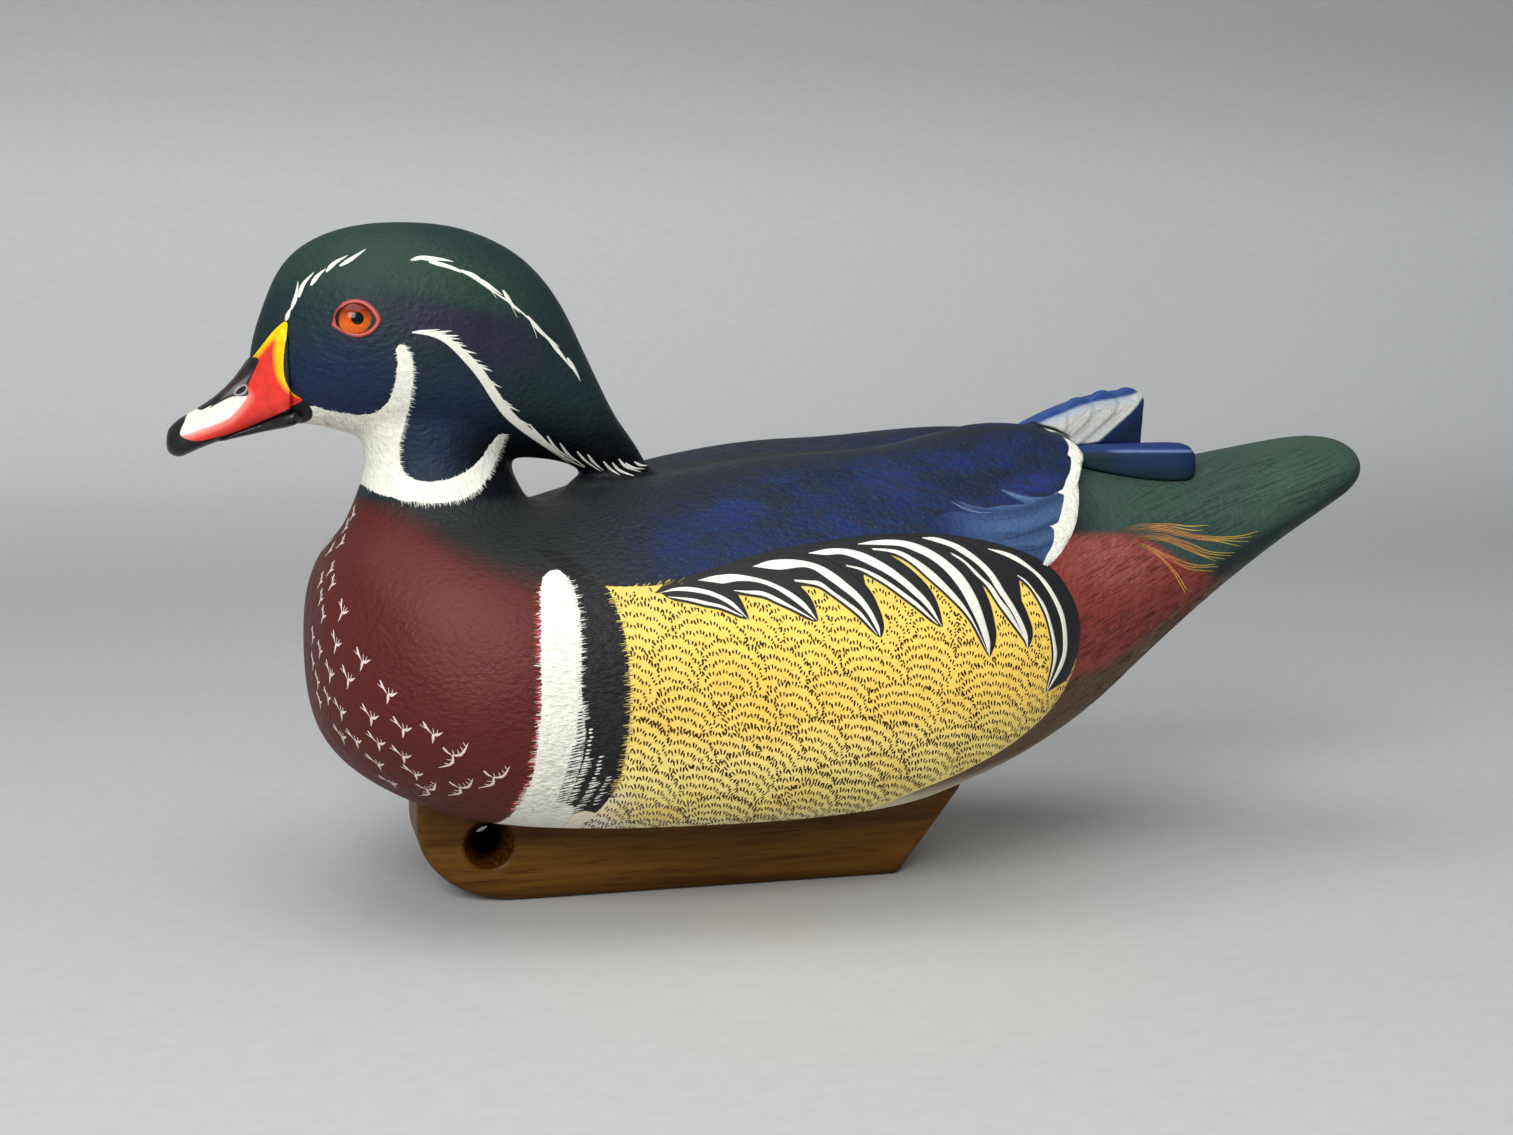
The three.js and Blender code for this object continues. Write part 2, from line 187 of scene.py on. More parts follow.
def mesh_object(name, points, faces, materials, smooth=True):
    """An object from points in millimetres, its faces one array or a list of arrays."""
    mesh = bpy.data.meshes.new(name)
    faces = faces if isinstance(faces, list) else [faces]
    loops = np.concatenate([f.ravel() for f in faces]).astype(np.int32)
    sizes = np.concatenate([np.full(len(f), f.shape[1]) for f in faces]).astype(np.int32)
    mesh.vertices.add(len(points))
    mesh.vertices.foreach_set("co", (np.asarray(points) * MM).astype(np.float32).ravel())
    mesh.loops.add(len(loops))
    mesh.loops.foreach_set("vertex_index", loops)
    mesh.polygons.add(len(sizes))
    mesh.polygons.foreach_set("loop_start", (np.cumsum(sizes) - sizes).astype(np.int32))
    mesh.update(calc_edges=True)
    mesh.validate()
    mesh.polygons.foreach_set("use_smooth", np.full(len(mesh.polygons), smooth))
    for material in materials:
        mesh.materials.append(material)
    piece = bpy.data.objects.new(name, mesh)
    bpy.context.scene.collection.objects.link(piece)
    return piece


class Surface:
    """A mesh to lay things on."""

    def __init__(self, points, faces):
        self.tree = BVHTree.FromPolygons(points.tolist(), faces.tolist())

    def seen_from(self, x, z, side):
        """Places and normals where lines across the bird at x and z first meet that side, else NaN."""
        start = side * 200.0
        places = np.full((*np.shape(x), 3), np.nan)
        normals = places.copy()
        for index in np.ndindex(np.shape(x)):
            place, normal, _, _ = self.tree.ray_cast((x[index], start, z[index]), (0, -side, 0))
            if place is not None:
                places[index], normals[index] = place, normal
        return places, normals

    def nearest(self, where):
        """Places and normals of the surface nearest to these points."""
        places, normals = np.empty(where.shape), np.empty(where.shape)
        for index in np.ndindex(where.shape[:-1]):
            places[index], normals[index] = self.tree.find_nearest(where[index].tolist())[:2]
        return places, normals


def distance_to(names, where, reach=6.0):
    """The distance of points to the nearest of these nodes, no more than reach."""
    points, triangles = node_arrays(names)
    tree = BVHTree.FromPolygons(points.tolist(), triangles.tolist())
    result = np.full(len(where), reach)
    low, high = points.min(axis=0) - reach, points.max(axis=0) + reach
    for i in np.flatnonzero(((where > low) & (where < high)).all(axis=1)):
        result[i] = tree.find_nearest(where[i].tolist(), reach)[3] or reach
    return result


def set_numbers(piece, name, values):
    """A number for each point, that the material reads by name."""
    attribute = piece.data.attributes.new(name, "FLOAT", "POINT")
    attribute.data.foreach_set("value", values.astype(np.float32))


def set_colours(piece, name, values):
    """A colour for each point, that the material reads by name."""
    attribute = piece.data.color_attributes.new(name, "FLOAT_COLOR", "POINT")
    rgba = np.concatenate([values, np.ones((len(values), 1))], axis=1)
    attribute.data.foreach_set("color", rgba.astype(np.float32).ravel())


def part_of(piece, slot, *nodes):
    """The piece rides with the decoy and stands for those nodes, which it hides; slot is not used."""
    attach(piece, "root")
    if nodes:
        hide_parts(*nodes)


# Materials

def new_material(name, **values):
    material = bpy.data.materials.new(name)
    material.use_nodes = True
    shader = material.node_tree.nodes["Principled BSDF"]
    for socket, value in values.items():
        shader.inputs[socket.replace("_", " ")].default_value = value
    return material, material.node_tree, shader


def put(tree, kind, settings=(), **inputs):
    """A new node, with its settings and its inputs set or linked; returns its first output."""
    node = tree.nodes.new("ShaderNode" + kind)
    for key, value in dict(settings).items():
        setattr(node, key, value)
    for key, value in inputs.items():
        socket = node.inputs[int(key[1:])] if key[1:].isdigit() else node.inputs[key.replace("_", " ")]
        if isinstance(value, bpy.types.NodeSocket):
            tree.links.new(value, socket)
        else:
            socket.default_value = value
    return node.outputs[0]


def colour(*rgb):
    return (*rgb, 1.0)


def smooth_skin(points, quads):
    """Rounds the solids' facets away and leaves their creases and edges."""
    links = Links(quads, len(points))
    points = links.relax(points, 4, 0.5)
    normals = quad_normals(points, quads)
    broad = links.relax(normals, 40, 0.6)
    broad /= np.linalg.norm(broad, axis=1)[:, None]
    bend = 1 - (normals * broad).sum(axis=1)
    crease = links.relax(ramp(bend, 0.012, 0.05), 6, 0.6)
    on_head = ramp(points[:, 2], 108, 118) * ramp(points[:, 0], -46, -56)
    loose = np.clip(1 - 1.5 * crease, 0, 1)
    points = links.relax(points, 30, 0.6 * loose)
    points = links.relax(points, 110, 0.6 * loose * (1 - on_head))
    return points


# Paint lines in the side view, x and z in millimetres; both sides carry them alike

CHIN_AND_COLLAR = [
    (-143.0, 141.9), (-138.0, 140.6), (-132.8, 139.7), (-128.9, 139.6), (-125.4, 140.6), (-122.8, 143.4),
    (-121.5, 146.8), (-120.6, 150.8), (-120.5, 154.2), (-120.7, 157.0), (-119.9, 158.6), (-118.2, 158.0),
    (-117.0, 155.6), (-116.5, 153.0), (-116.3, 149.2), (-116.8, 145.1), (-117.5, 140.9), (-118.5, 136.7),
    (-119.6, 132.6), (-120.0, 128.6), (-119.4, 125.0), (-118.0, 122.9), (-114.8, 121.6), (-109.4, 121.4),
    (-105.3, 122.5), (-101.6, 124.2), (-98.1, 126.8), (-95.2, 130.2), (-92.8, 132.8), (-90.8, 133.2),
    (-91.4, 129.2), (-93.8, 125.0), (-96.3, 121.7), (-99.0, 119.0), (-103.0, 117.0), (-107.1, 116.1),
    (-112.5, 115.8), (-117.7, 116.2), (-122.8, 117.1), (-126.4, 118.0), (-129.6, 119.3), (-138.0, 121.0),
    (-146.0, 128.0), (-152.0, 134.0), (-146.6, 138.6),
]
YELLOW_EDGE = [
    (-159.2, 153.6), (-157.2, 155.9), (-155.0, 158.8), (-152.3, 162.2), (-149.6, 164.6), (-148.6, 164.3),
    (-148.9, 161.2), (-149.6, 157.6), (-150.0, 153.2), (-149.8, 150.0), (-149.1, 147.8), (-147.6, 145.4),
    (-145.2, 143.7), (-146.2, 142.8), (-148.6, 141.5), (-152.1, 139.5), (-156.5, 137.4), (-161.0, 135.5),
    (-165.5, 134.1), (-169.9, 133.1), (-173.0, 132.6), (-175.6, 133.0), (-177.6, 134.2), (-177.3, 135.9),
    (-176.4, 137.7), (-175.6, 139.6), (-172.4, 144.0), (-166.4, 149.5), (-161.5, 153.5),
]
RED_EDGE = [
    (-158.0, 154.8), (-156.4, 155.4), (-154.2, 158.0), (-152.0, 159.8), (-152.3, 156.2), (-152.2, 152.7),
    (-151.6, 149.8), (-149.9, 147.0), (-147.6, 145.0), (-145.0, 144.4), (-142.0, 143.2), (-146.0, 140.4),
    (-151.5, 136.8), (-156.0, 134.4), (-160.6, 132.2), (-165.3, 130.8), (-169.9, 130.0), (-174.0, 129.9),
    (-180.0, 131.5), (-181.0, 139.0), (-173.0, 146.0), (-166.0, 151.5),
]
GAPE = [
    (-150.5, 140.9), (-147.6, 142.2), (-145.6, 143.4), (-144.2, 142.8), (-142.9, 141.2), (-142.5, 139.2),
    (-143.4, 137.6), (-146.0, 136.2), (-150.0, 134.8), (-156.0, 133.5), (-156.0, 137.0),
]
BILL_WHITE = [
    (-178.6, 134.3), (-177.6, 139.5), (-172.8, 142.2), (-167.8, 143.2), (-163.8, 144.6), (-159.8, 144.9),
    (-160.8, 142.7), (-163.1, 140.0), (-165.3, 138.2), (-168.4, 136.9), (-172.4, 135.7), (-176.0, 134.3),
]
CULMEN_BLACK = [
    (-172.3, 140.7), (-169.6, 141.8), (-167.4, 143.0), (-166.4, 144.7), (-163.7, 147.4), (-160.5, 149.9),
    (-158.6, 151.4), (-156.4, 154.4), (-158.4, 154.8), (-163.0, 152.0), (-168.5, 147.5), (-173.5, 142.5),
]
# Where the black culmen carries a painted sheen, round the nostril
CULMEN_SHEEN = [
    (-169.6, 141.4), (-167.8, 142.4), (-163.8, 144.4), (-160.6, 144.6), (-159.4, 145.2), (-159.5, 147.2),
    (-158.4, 149.9), (-156.2, 154.4), (-158.6, 151.4), (-160.5, 149.9), (-163.7, 147.4), (-166.4, 144.7),
    (-167.6, 143.4),
]
NOSTRIL = [
    (-162.8, 145.3), (-162.0, 145.1), (-160.7, 145.6), (-159.9, 146.7), (-160.2, 147.4), (-161.3, 147.0),
    (-162.3, 146.2),
]
BREAST_REAR = [
    (16, -101.5), (27, -98.5), (34.2, -95.4), (40.8, -93.7), (47.6, -91.7), (57.2, -90.8), (67.2, -90.0),
    (80.9, -89.7), (90.7, -88.8), (96.5, -87.9), (99.4, -86.6), (100.8, -84.0), (101.4, -80.0),
]
BAR_MIDDLE = [(16, -86.5), (33, -84.2), (41, -81.8), (50, -79.7), (59, -78.6), (65.6, -78.9), (72, -79.6),
              (82.5, -79.2), (89.5, -78.8), (95.2, -79.1), (98.6, -80.0), (100.6, -82.0), (106, -88.0)]
BAR_REAR = [
    (16, -80.0), (30, -77.0), (35.3, -73.8), (44.5, -69.9), (50.7, -68.7), (60.0, -67.7), (68.7, -67.3),
    (76.3, -67.5), (83.5, -67.9), (89.0, -68.7), (93.3, -69.8), (97.2, -71.5), (101.5, -76.0), (106, -82.0),
]
FLANK_TOP = [(-84, 99.5), (-82, 99.2), (-79.5, 98.8), (-74.8, 98.0), (-70.3, 97.2), (-62.8, 97.2),
             (-57.8, 97.6), (-52.4, 98.6), (-46.9, 99.8), (-38.5, 101.8), (-30.1, 103.8), (-21.8, 105.1),
             (-10.5, 106.5), (0.8, 107.4), (9.4, 107.6), (20.5, 107.2), (31.6, 105.3), (40.0, 103.1),
             (48.5, 99.4), (54.5, 94.6), (59.3, 87.0), (61.4, 79.0), (61.0, 72.0), (59.4, 66.5)]
FLANK_END = [(60.2, 71.0), (57.0, 66.3)]
FLANK_LOW = [
    (56.0, 60.5), (50.0, 54.2), (41.0, 47.5), (27.0, 40.5), (12.0, 34.0), (-17.0, 16.0), (-84, 16.0),
]

SLATE_PATCH = [
    (17.0, 108.2), (20.0, 110.9), (25.8, 112.9), (32.9, 112.4), (33.2, 112.6), (31.0, 114.0), (28.5, 115.6),
    (28.6, 115.7), (36.2, 113.6), (41.0, 113.9), (49.2, 114.0), (49.4, 114.2), (46.0, 116.0), (43.3, 117.9),
    (43.4, 118.0), (50.5, 116.0), (57.0, 115.4), (66.0, 116.6), (70.0, 112.0), (60.0, 98.0), (50.0, 98.0),
    (40.0, 101.5), (31.0, 103.5), (20.0, 104.6), (17.0, 105.4),
]
SLATE_EDGES = [((30, 38, 50, 62), (113.6, 112.6, 113.2, 116.0)), ((36, 46, 57), (107.2, 107.0, 109.4)),
               ((42, 49, 55), (103.6, 103.4, 104.4))]
WING_BLUE_SPOTS = [((-36, 113), (14, 6)), ((-8, 116), (16, 8)), ((14, 118), (16, 9)), ((31, 126), (10, 6)),
                   ((52, 130), (12, 6)), ((-52, 106), (12, 5)), ((2, 109), (14, 4)), ((66, 124), (8, 6))]
WING_WHITE = [
    (96.0, 47.5), (100.5, 50.9), (104.0, 54.4), (107.4, 55.7), (108.4, 54.6), (108.9, 57.6), (112.0, 60.6),
    (115.6, 63.6), (116.1, 60.6), (116.8, 64.0), (119.0, 66.6), (121.5, 69.2), (124.6, 70.8),
    (125.6, 70.2), (127.5, 71.8), (129.6, 71.8), (131.1, 70.6), (132.4, 67.5), (140.0, 66.0),
]


def smooth_line(points, steps=5, closed=False):
    """A Catmull-Rom curve through the points."""
    points = np.array(points, float)
    if closed:
        before, after = np.roll(points, 1, axis=0), np.roll(points, -1, axis=0)
        further = np.roll(points, -2, axis=0)
        starts = range(len(points))
    else:
        padded = np.concatenate([2 * points[:1] - points[1:2], points, 2 * points[-1:] - points[-2:-1]])
        before, points, after, further = padded[:-3], padded[1:-2], padded[2:-1], padded[3:]
        starts = range(len(points))
    line = []
    for i in starts:
        p0, p1, p2, p3 = before[i], points[i], after[i], further[i]
        for t in np.arange(steps) / steps:
            line.append(0.5 * (2 * p1 + (p2 - p0) * t + (2 * p0 - 5 * p1 + 4 * p2 - p3) * t * t
                               + (3 * p1 - p0 - 3 * p2 + p3) * t ** 3))
    if not closed:
        line.append(after[-1])
    return np.array(line)


def inside(x, z, corners, reach=6.0):
    """Distance inside a closed outline, negative outside and no more than reach from it."""
    corners = smooth_line(corners, closed=True)
    result = np.full(len(x), -reach)
    low, high = corners.min(axis=0) - reach, corners.max(axis=0) + reach
    near = np.flatnonzero((x > low[0]) & (x < high[0]) & (z > low[1]) & (z < high[1]))
    px, pz = x[near], z[near]
    best = np.full(len(near), reach * reach)
    odd = np.zeros(len(near), bool)
    for (ax, az), (bx, bz) in zip(corners, np.roll(corners, -1, axis=0)):
        dx, dz = bx - ax, bz - az
        t = np.clip(((px - ax) * dx + (pz - az) * dz) / max(dx * dx + dz * dz, 1e-12), 0, 1)
        np.minimum(best, (px - ax - t * dx) ** 2 + (pz - az - t * dz) ** 2, out=best)
        if az != bz:
            odd ^= ((az > pz) != (bz > pz)) & (px < ax + (pz - az) * dx / dz)
    result[near] = np.where(odd, 1, -1) * np.sqrt(best)
    return result


def past(line, x, z):
    """How far x is past a line that gives x for each height z."""
    line = smooth_line(line)
    return x - np.interp(z, line[:, 0], line[:, 1])


# Paint colours, linear

CROWN_GREEN = (0.018, 0.044, 0.031)
CREST_TEAL = (0.012, 0.024, 0.027)
UNDER_CREST_SHADE = (0.001, 0.002, 0.004)
CHEEK_NAVY = (0.010, 0.017, 0.055)
CHEEK_PURPLE = (0.026, 0.016, 0.042)
BACK_BLACK = (0.016, 0.018, 0.019)
BURGUNDY = (0.088, 0.014, 0.011)
BURGUNDY_PALE = (0.150, 0.040, 0.032)
GOLD = (0.920, 0.630, 0.125)
GOLD_LOW_LIT = (0.970, 0.790, 0.260)
GOLD_PALE = (0.700, 0.545, 0.130)
CREAM = (0.760, 0.690, 0.480)
WHITE = (0.800, 0.790, 0.700)
BLACK = (0.012, 0.012, 0.013)
WING_NAVY = (0.008, 0.014, 0.044)
WING_BLUE = (0.008, 0.024, 0.100)
WING_BRIGHT = (0.015, 0.034, 0.165)
WING_RIM = (0.060, 0.080, 0.150)
SLATE = (0.050, 0.098, 0.200)
SLATE_DARK = (0.018, 0.040, 0.100)
TAIL_GREEN = (0.035, 0.064, 0.054)
TAIL_GREEN_PALE = (0.038, 0.080, 0.050)
TAIL_DARK = (0.006, 0.022, 0.020)
RUMP_RED = (0.235, 0.042, 0.032)
RUMP_HIGHLIGHT = (0.330, 0.110, 0.090)
UNDERTAIL_BROWN = (0.110, 0.064, 0.031)
BILL_RED = (0.700, 0.036, 0.024)
BILL_PINK = (0.860, 0.200, 0.160)
BILL_WHITE_PAINT = (0.800, 0.780, 0.640)
BILL_YELLOW = (0.800, 0.570, 0.004)
BILL_SHEEN = (0.150, 0.145, 0.145)
BILL_RING = (0.340, 0.330, 0.320)
LID_RED = (0.400, 0.060, 0.052)
FAN_CREAM = (0.920, 0.910, 0.780)
FAN_WEB_SHADOW = (0.420, 0.440, 0.420)
FAN_DARK = (0.008, 0.018, 0.042)
FAN_BLUE = (0.028, 0.068, 0.225)
FAN_BLUE_PALE = (0.300, 0.420, 0.620)
BUNDLE_TOP = (0.014, 0.034, 0.130)
BUNDLE_SIDE = (0.007, 0.024, 0.070)
BUNDLE_DARK = (0.006, 0.022, 0.026)


class Airbrush:
    """Soft paint on a set of points: each coat covers by its own amount."""

    def __init__(self, count, ground):
        self.values = np.tile(np.array(ground, float), (count, 1))

    def coat(self, paint, amount):
        amount = np.clip(amount, 0, 1)[:, None]
        self.values = self.values * (1 - amount) + np.array(paint) * amount
        return self


def blob(x, z, at, size, turn=0.0):
    """A soft spot: 1 at its middle and 0 outside its ellipse."""
    c, s = math.cos(math.radians(turn)), math.sin(math.radians(turn))
    u = ((x - at[0]) * c + (z - at[1]) * s) / size[0]
    v = ((z - at[1]) * c - (x - at[0]) * s) / size[1]
    return ramp(np.sqrt(u * u + v * v), 1.0, 0.25)


def head_paint(x, y, z):
    coat = Airbrush(len(x), CREST_TEAL)
    coat.coat(CROWN_GREEN, 0.7 * ramp(z, 168, 180) * ramp(x, -60, -95))
    coat.coat(CROWN_GREEN, 0.95 * blob(x, z, (-104, 175), (36, 9), -18))
    coat.coat(CREST_TEAL, 0.75 * blob(x, z, (-100, 188), (32, 8), -22))
    coat.coat(CHEEK_PURPLE, 0.65 * blob(x, z, (-106, 163), (24, 9), -16))
    coat.coat(CHEEK_PURPLE, 0.4 * blob(x, z, (-92, 158), (16, 14), -40))
    coat.coat(CHEEK_NAVY, 0.95 * blob(x, z, (-136, 148), (26, 20), 0))
    coat.coat(CHEEK_NAVY, 0.8 * blob(x, z, (-106, 134), (20, 26), 0))
    # Painted shade on the neck behind and below the crest
    coat.coat(UNDER_CREST_SHADE, ramp(z, 146, 128) * ramp(x, -112, -98))
    return coat.values


def body_ground(x, y, z):
    """Breast, back, rump, tail and belly, all with soft edges."""
    coat = Airbrush(len(x), BURGUNDY)
    coat.coat(BURGUNDY_PALE, 0.4 * blob(x, z, (-118, 98), (22, 13), -35))
    coat.coat(BURGUNDY_PALE, 0.45 * blob(x, z, (-106, 84), (20, 26)))
    neck_x = [-135, -126, -116, -107, -98, -88, -70]
    neck_edge = np.interp(x, neck_x, [119.5, 115.5, 110.5, 104.5, 100.5, 97.5, 95])
    coat.coat(BACK_BLACK, ramp(z - neck_edge, -6.5, 5.5))
    coat.coat(BACK_BLACK, ramp(x, -84, -70))
    coat.coat(TAIL_GREEN, ramp(x, 60, 80))
    coat.coat(TAIL_GREEN_PALE, 0.75 * blob(x, z, (150, 122), (46, 13), 32))
    coat.coat(TAIL_GREEN_PALE, 0.5 * blob(x, z, (96, 112), (26, 9), 0))
    under_tail = np.interp(x, [105, 120, 136, 150, 162, 180], [86, 97.5, 103.5, 109.5, 115.5, 128])
    coat.coat(TAIL_DARK, ramp(z - under_tail, 2.0, -3.0) * ramp(x, 106, 118))
    top = np.interp(x, [58, 84, 90, 97, 104, 116], [105.5, 104, 101.5, 97.5, 93.5, 88.5])
    rump = ramp(top - z, -1.6, 1.8) * ramp(x, 121, 108) * ramp(x, 20, 34)
    coat.coat(RUMP_RED, rump)
    # A painted highlight on the upper front of the red rump
    coat.coat(RUMP_HIGHLIGHT, rump * 0.55 * blob(x, z, (76, 97), (26, 12), -10))
    low = np.interp(x, [46, 62, 72, 84, 95, 103, 111, 118], [61, 66, 66.5, 71, 76.5, 80.5, 84, 88])
    coat.coat(UNDERTAIL_BROWN, ramp(low - z, -2.5, 2.5) * ramp(x, 14, 22))
    belly = ramp(z - np.interp(x, [-100, 20, 50, 80, 100], [36, 36, 40, 53, 66]), 4, -7)
    coat.coat(CREAM, belly * ramp(past(BREAST_REAR, x, z), -0.6, 0.6) * ramp(x, 108, 84))
    return coat.values


def covert_feathers(x, y, z):
    """The wing's painted feathers: the tone of the one on top at each point, and the way in from its rim."""
    pitch, row_pitch, length, half = 13.0, 9.6, 15.5, 6.6
    down = 76.0 * np.arctan2(np.abs(y), z - 58.0) + 1.2 * np.sin(x / 11.0)
    tones = np.random.default_rng(5).random((64, 16))
    first = np.floor(x / pitch).astype(int)
    tone = np.zeros(len(x))
    rim = np.full(len(x), 9.0)
    open_points = np.ones(len(x), bool)
    for step in (-1, 0, 1):
        column = first + step
        shift = 0.5 * row_pitch * (column % 2)
        row = np.round((down - shift) / row_pitch)
        across = (down - shift - row * row_pitch) / half
        ahead = np.maximum(x - column * pitch, 0) / length
        reach = np.sqrt(ahead * ahead + across * across)
        top = open_points & (reach < 1)
        tone[top] = tones[(column[top] + 16) % 64, row[top].astype(int) % 16]
        rim[top] = np.where(ahead[top] > 0, (1 - reach[top]) * half * 1.5, 9.0)
        open_points &= ~top
    return tone, rim


def wing_paint(x, y, z):
    """Dark blue coverts that turn brighter towards the rear edge."""
    tone, rim = covert_feathers(x, y, z)
    coat = Airbrush(len(x), WING_NAVY)
    coat.coat(WING_BLUE, 0.75 * ramp(tone, 0.35, 0.95) * ramp(x, -60, -25))
    coat.coat(WING_BLUE, 0.5 * ramp(z, 118, 106) * ramp(x, -66, -40))
    for at, size in WING_BLUE_SPOTS:
        coat.coat(WING_BLUE, 0.45 * blob(x, z, at, size, 8))
    rearward = ramp(x, -64, -30)
    coat.coat(BACK_BLACK, 0.65 * ramp(rim, 1.0, 0.25) * rearward * ramp(tone, 0.1, 0.6))
    ridge = np.interp(x, [-60, -30, 0, 30, 60], [114.5, 123, 128.5, 131.5, 134.0])
    coat.coat(BACK_BLACK, 0.75 * ramp(z - ridge, -6.0, 0.5) * ramp(x, 66, 20))
    coat.coat(BACK_BLACK, ramp(x, -50, -72))
    streak = np.hypot((x - 55) / 17, (z - 118.6 - 0.08 * (x - 55)) / 4.2)
    coat.coat(WING_BRIGHT, 0.7 * ramp(streak, 1.0, 0.2))
    coat.coat(WING_BRIGHT, 0.35 * ramp(np.hypot((x - 12) / 12, (z - 121.5) / 6.5), 1.0, 0.2))
    coat.coat(WING_BRIGHT, 0.3 * ramp(np.hypot((x + 32) / 11, (z - 114.0) / 3.8), 1.0, 0.2))
    return coat.values


def slate_paint(x, y, z):
    """The slate blue of the flight feathers, darker towards each feather's upper edge and at the front, with
    painted shade along the patch's lower edge.
    """
    coat = Airbrush(len(x), SLATE)
    for knots, heights in SLATE_EDGES:
        edge = np.interp(x, knots, heights)
        shade = ramp(z - edge, -3.4, -0.2) * ramp(z - edge, 0.9, 0.0)
        coat.coat(SLATE_DARK, 0.75 * shade * ramp(x, knots[0] - 6, knots[0] + 6))
    # Painted shade along the lower edge of the slate patch
    coat.coat(SLATE_DARK, ramp(z - np.interp(x, [10, 30, 45, 60], [108, 106, 102, 97]), 2.5, -1.5))
    coat.coat(WING_BLUE, 0.85 * ramp(x, 42, 20))
    coat.coat(WING_NAVY, 0.8 * ramp(x, 30, 17))
    return coat.values


def put_bill_lines(piece, x, z):
    """How far each point is inside each of the bill's colours."""
    for name, outline in (("gape", GAPE), ("bill_all", YELLOW_EDGE), ("bill_red", RED_EDGE),
                          ("bill_white", BILL_WHITE), ("culmen", CULMEN_BLACK), ("culmen_sheen", CULMEN_SHEEN),
                          ("nostril", NOSTRIL)):
        set_numbers(piece, name, inside(x, z, outline))


# Shader building

def attribute(tree, name):
    """A stored number of the points."""
    node = tree.nodes.new("ShaderNodeAttribute")
    node.attribute_name = name
    return node.outputs["Fac"]


def stored_colour(tree, name):
    node = tree.nodes.new("ShaderNodeAttribute")
    node.attribute_name = name
    return node.outputs["Color"]


def reckon(tree, operation, a, b=0.0, clamp=False):
    return put(tree, "Math", {"operation": operation, "use_clamp": clamp}, _0=a, _1=b)


def blend(tree, amount, below, above, mode="MIX"):
    node = tree.nodes.new("ShaderNodeMix")
    node.data_type = "RGBA"
    node.blend_type = mode
    for socket, value in ((node.inputs[0], amount), (node.inputs[6], below), (node.inputs[7], above)):
        if isinstance(value, bpy.types.NodeSocket):
            tree.links.new(value, socket)
        else:
            socket.default_value = value
    return node.outputs[2]


def stretch(tree, value, low, high, to_low=0.0, to_high=1.0):
    return put(tree, "MapRange", {"interpolation_type": "SMOOTHSTEP"}, Value=value,
               From_Min=low, From_Max=high, To_Min=to_low, To_Max=to_high)


def noise(tree, scale, detail=2.0, along=(1.0, 1.0, 1.0), turn=(0.0, 0.0, 0.0), rough=0.5):
    """Noise in the object's own space; scale is in lumps for each metre."""
    place = put(tree, "TexCoord").node.outputs["Object"]
    place = put(tree, "Mapping", _0=place, Rotation=turn, Scale=along)
    return put(tree, "TexNoise", Vector=place, Scale=scale, Detail=detail, Roughness=rough)


def edge_of(tree, distance, bristle, reach, soft=0.12):
    """How much a crisp coat covers: its edge lies where the distance is 0, moved by the bristles."""
    rough = reckon(tree, "MULTIPLY_ADD", bristle, 2.0 * reach)
    rough.node.inputs[2].default_value = -reach
    total = reckon(tree, "ADD", distance, rough)
    return stretch(tree, total, -soft, soft)


def paint_bump(tree, shader, fine_height, strength, distance=0.0002):
    bump = put(tree, "Bump", Strength=strength, Distance=distance, Height=fine_height)
    tree.links.new(bump, shader.inputs["Normal"])


def bill_coats(tree, below, fine):
    """The bill's colours, laid over what is below."""
    whole = attribute(tree, "bill_all")
    ground = blend(tree, stretch(tree, whole, -0.45, -0.25), below, colour(*BLACK))
    ground = blend(tree, edge_of(tree, attribute(tree, "gape"), fine, 0.08), ground, colour(*BLACK))
    yellow = edge_of(tree, whole, fine, 0.08)
    below = blend(tree, yellow, ground, colour(*BILL_YELLOW))
    red_distance = attribute(tree, "bill_red")
    orange = stretch(tree, red_distance, -1.0, 0.35)
    below = blend(tree, reckon(tree, "MULTIPLY", orange, stretch(tree, whole, 0.0, 0.7)), below,
                  colour(0.85, 0.25, 0.012))
    below = blend(tree, stretch(tree, red_distance, -0.1, 0.8), below, colour(*BILL_RED))
    white = attribute(tree, "bill_white")
    below = blend(tree, stretch(tree, white, -2.6, -0.2), below, colour(*BILL_PINK))
    below = blend(tree, stretch(tree, white, -0.3, 0.5), below, colour(*BILL_WHITE_PAINT))
    # A painted sheen inside the black culmen, edged with black
    grey = attribute(tree, "culmen_sheen")
    below = blend(tree, stretch(tree, grey, -0.25, 0.15), below, colour(*BLACK))
    below = blend(tree, stretch(tree, grey, 0.1, 1.1), below, colour(*BILL_SHEEN))
    below = blend(tree, edge_of(tree, attribute(tree, "culmen"), fine, 0.08), below, colour(*BLACK))
    below = blend(tree, stretch(tree, attribute(tree, "nostril"), -0.6, -0.2), below, colour(*BILL_RING))
    below = blend(tree, stretch(tree, attribute(tree, "nostril"), -0.1, 0.15), below, colour(*BLACK))
    return blend(tree, yellow, ground, below)


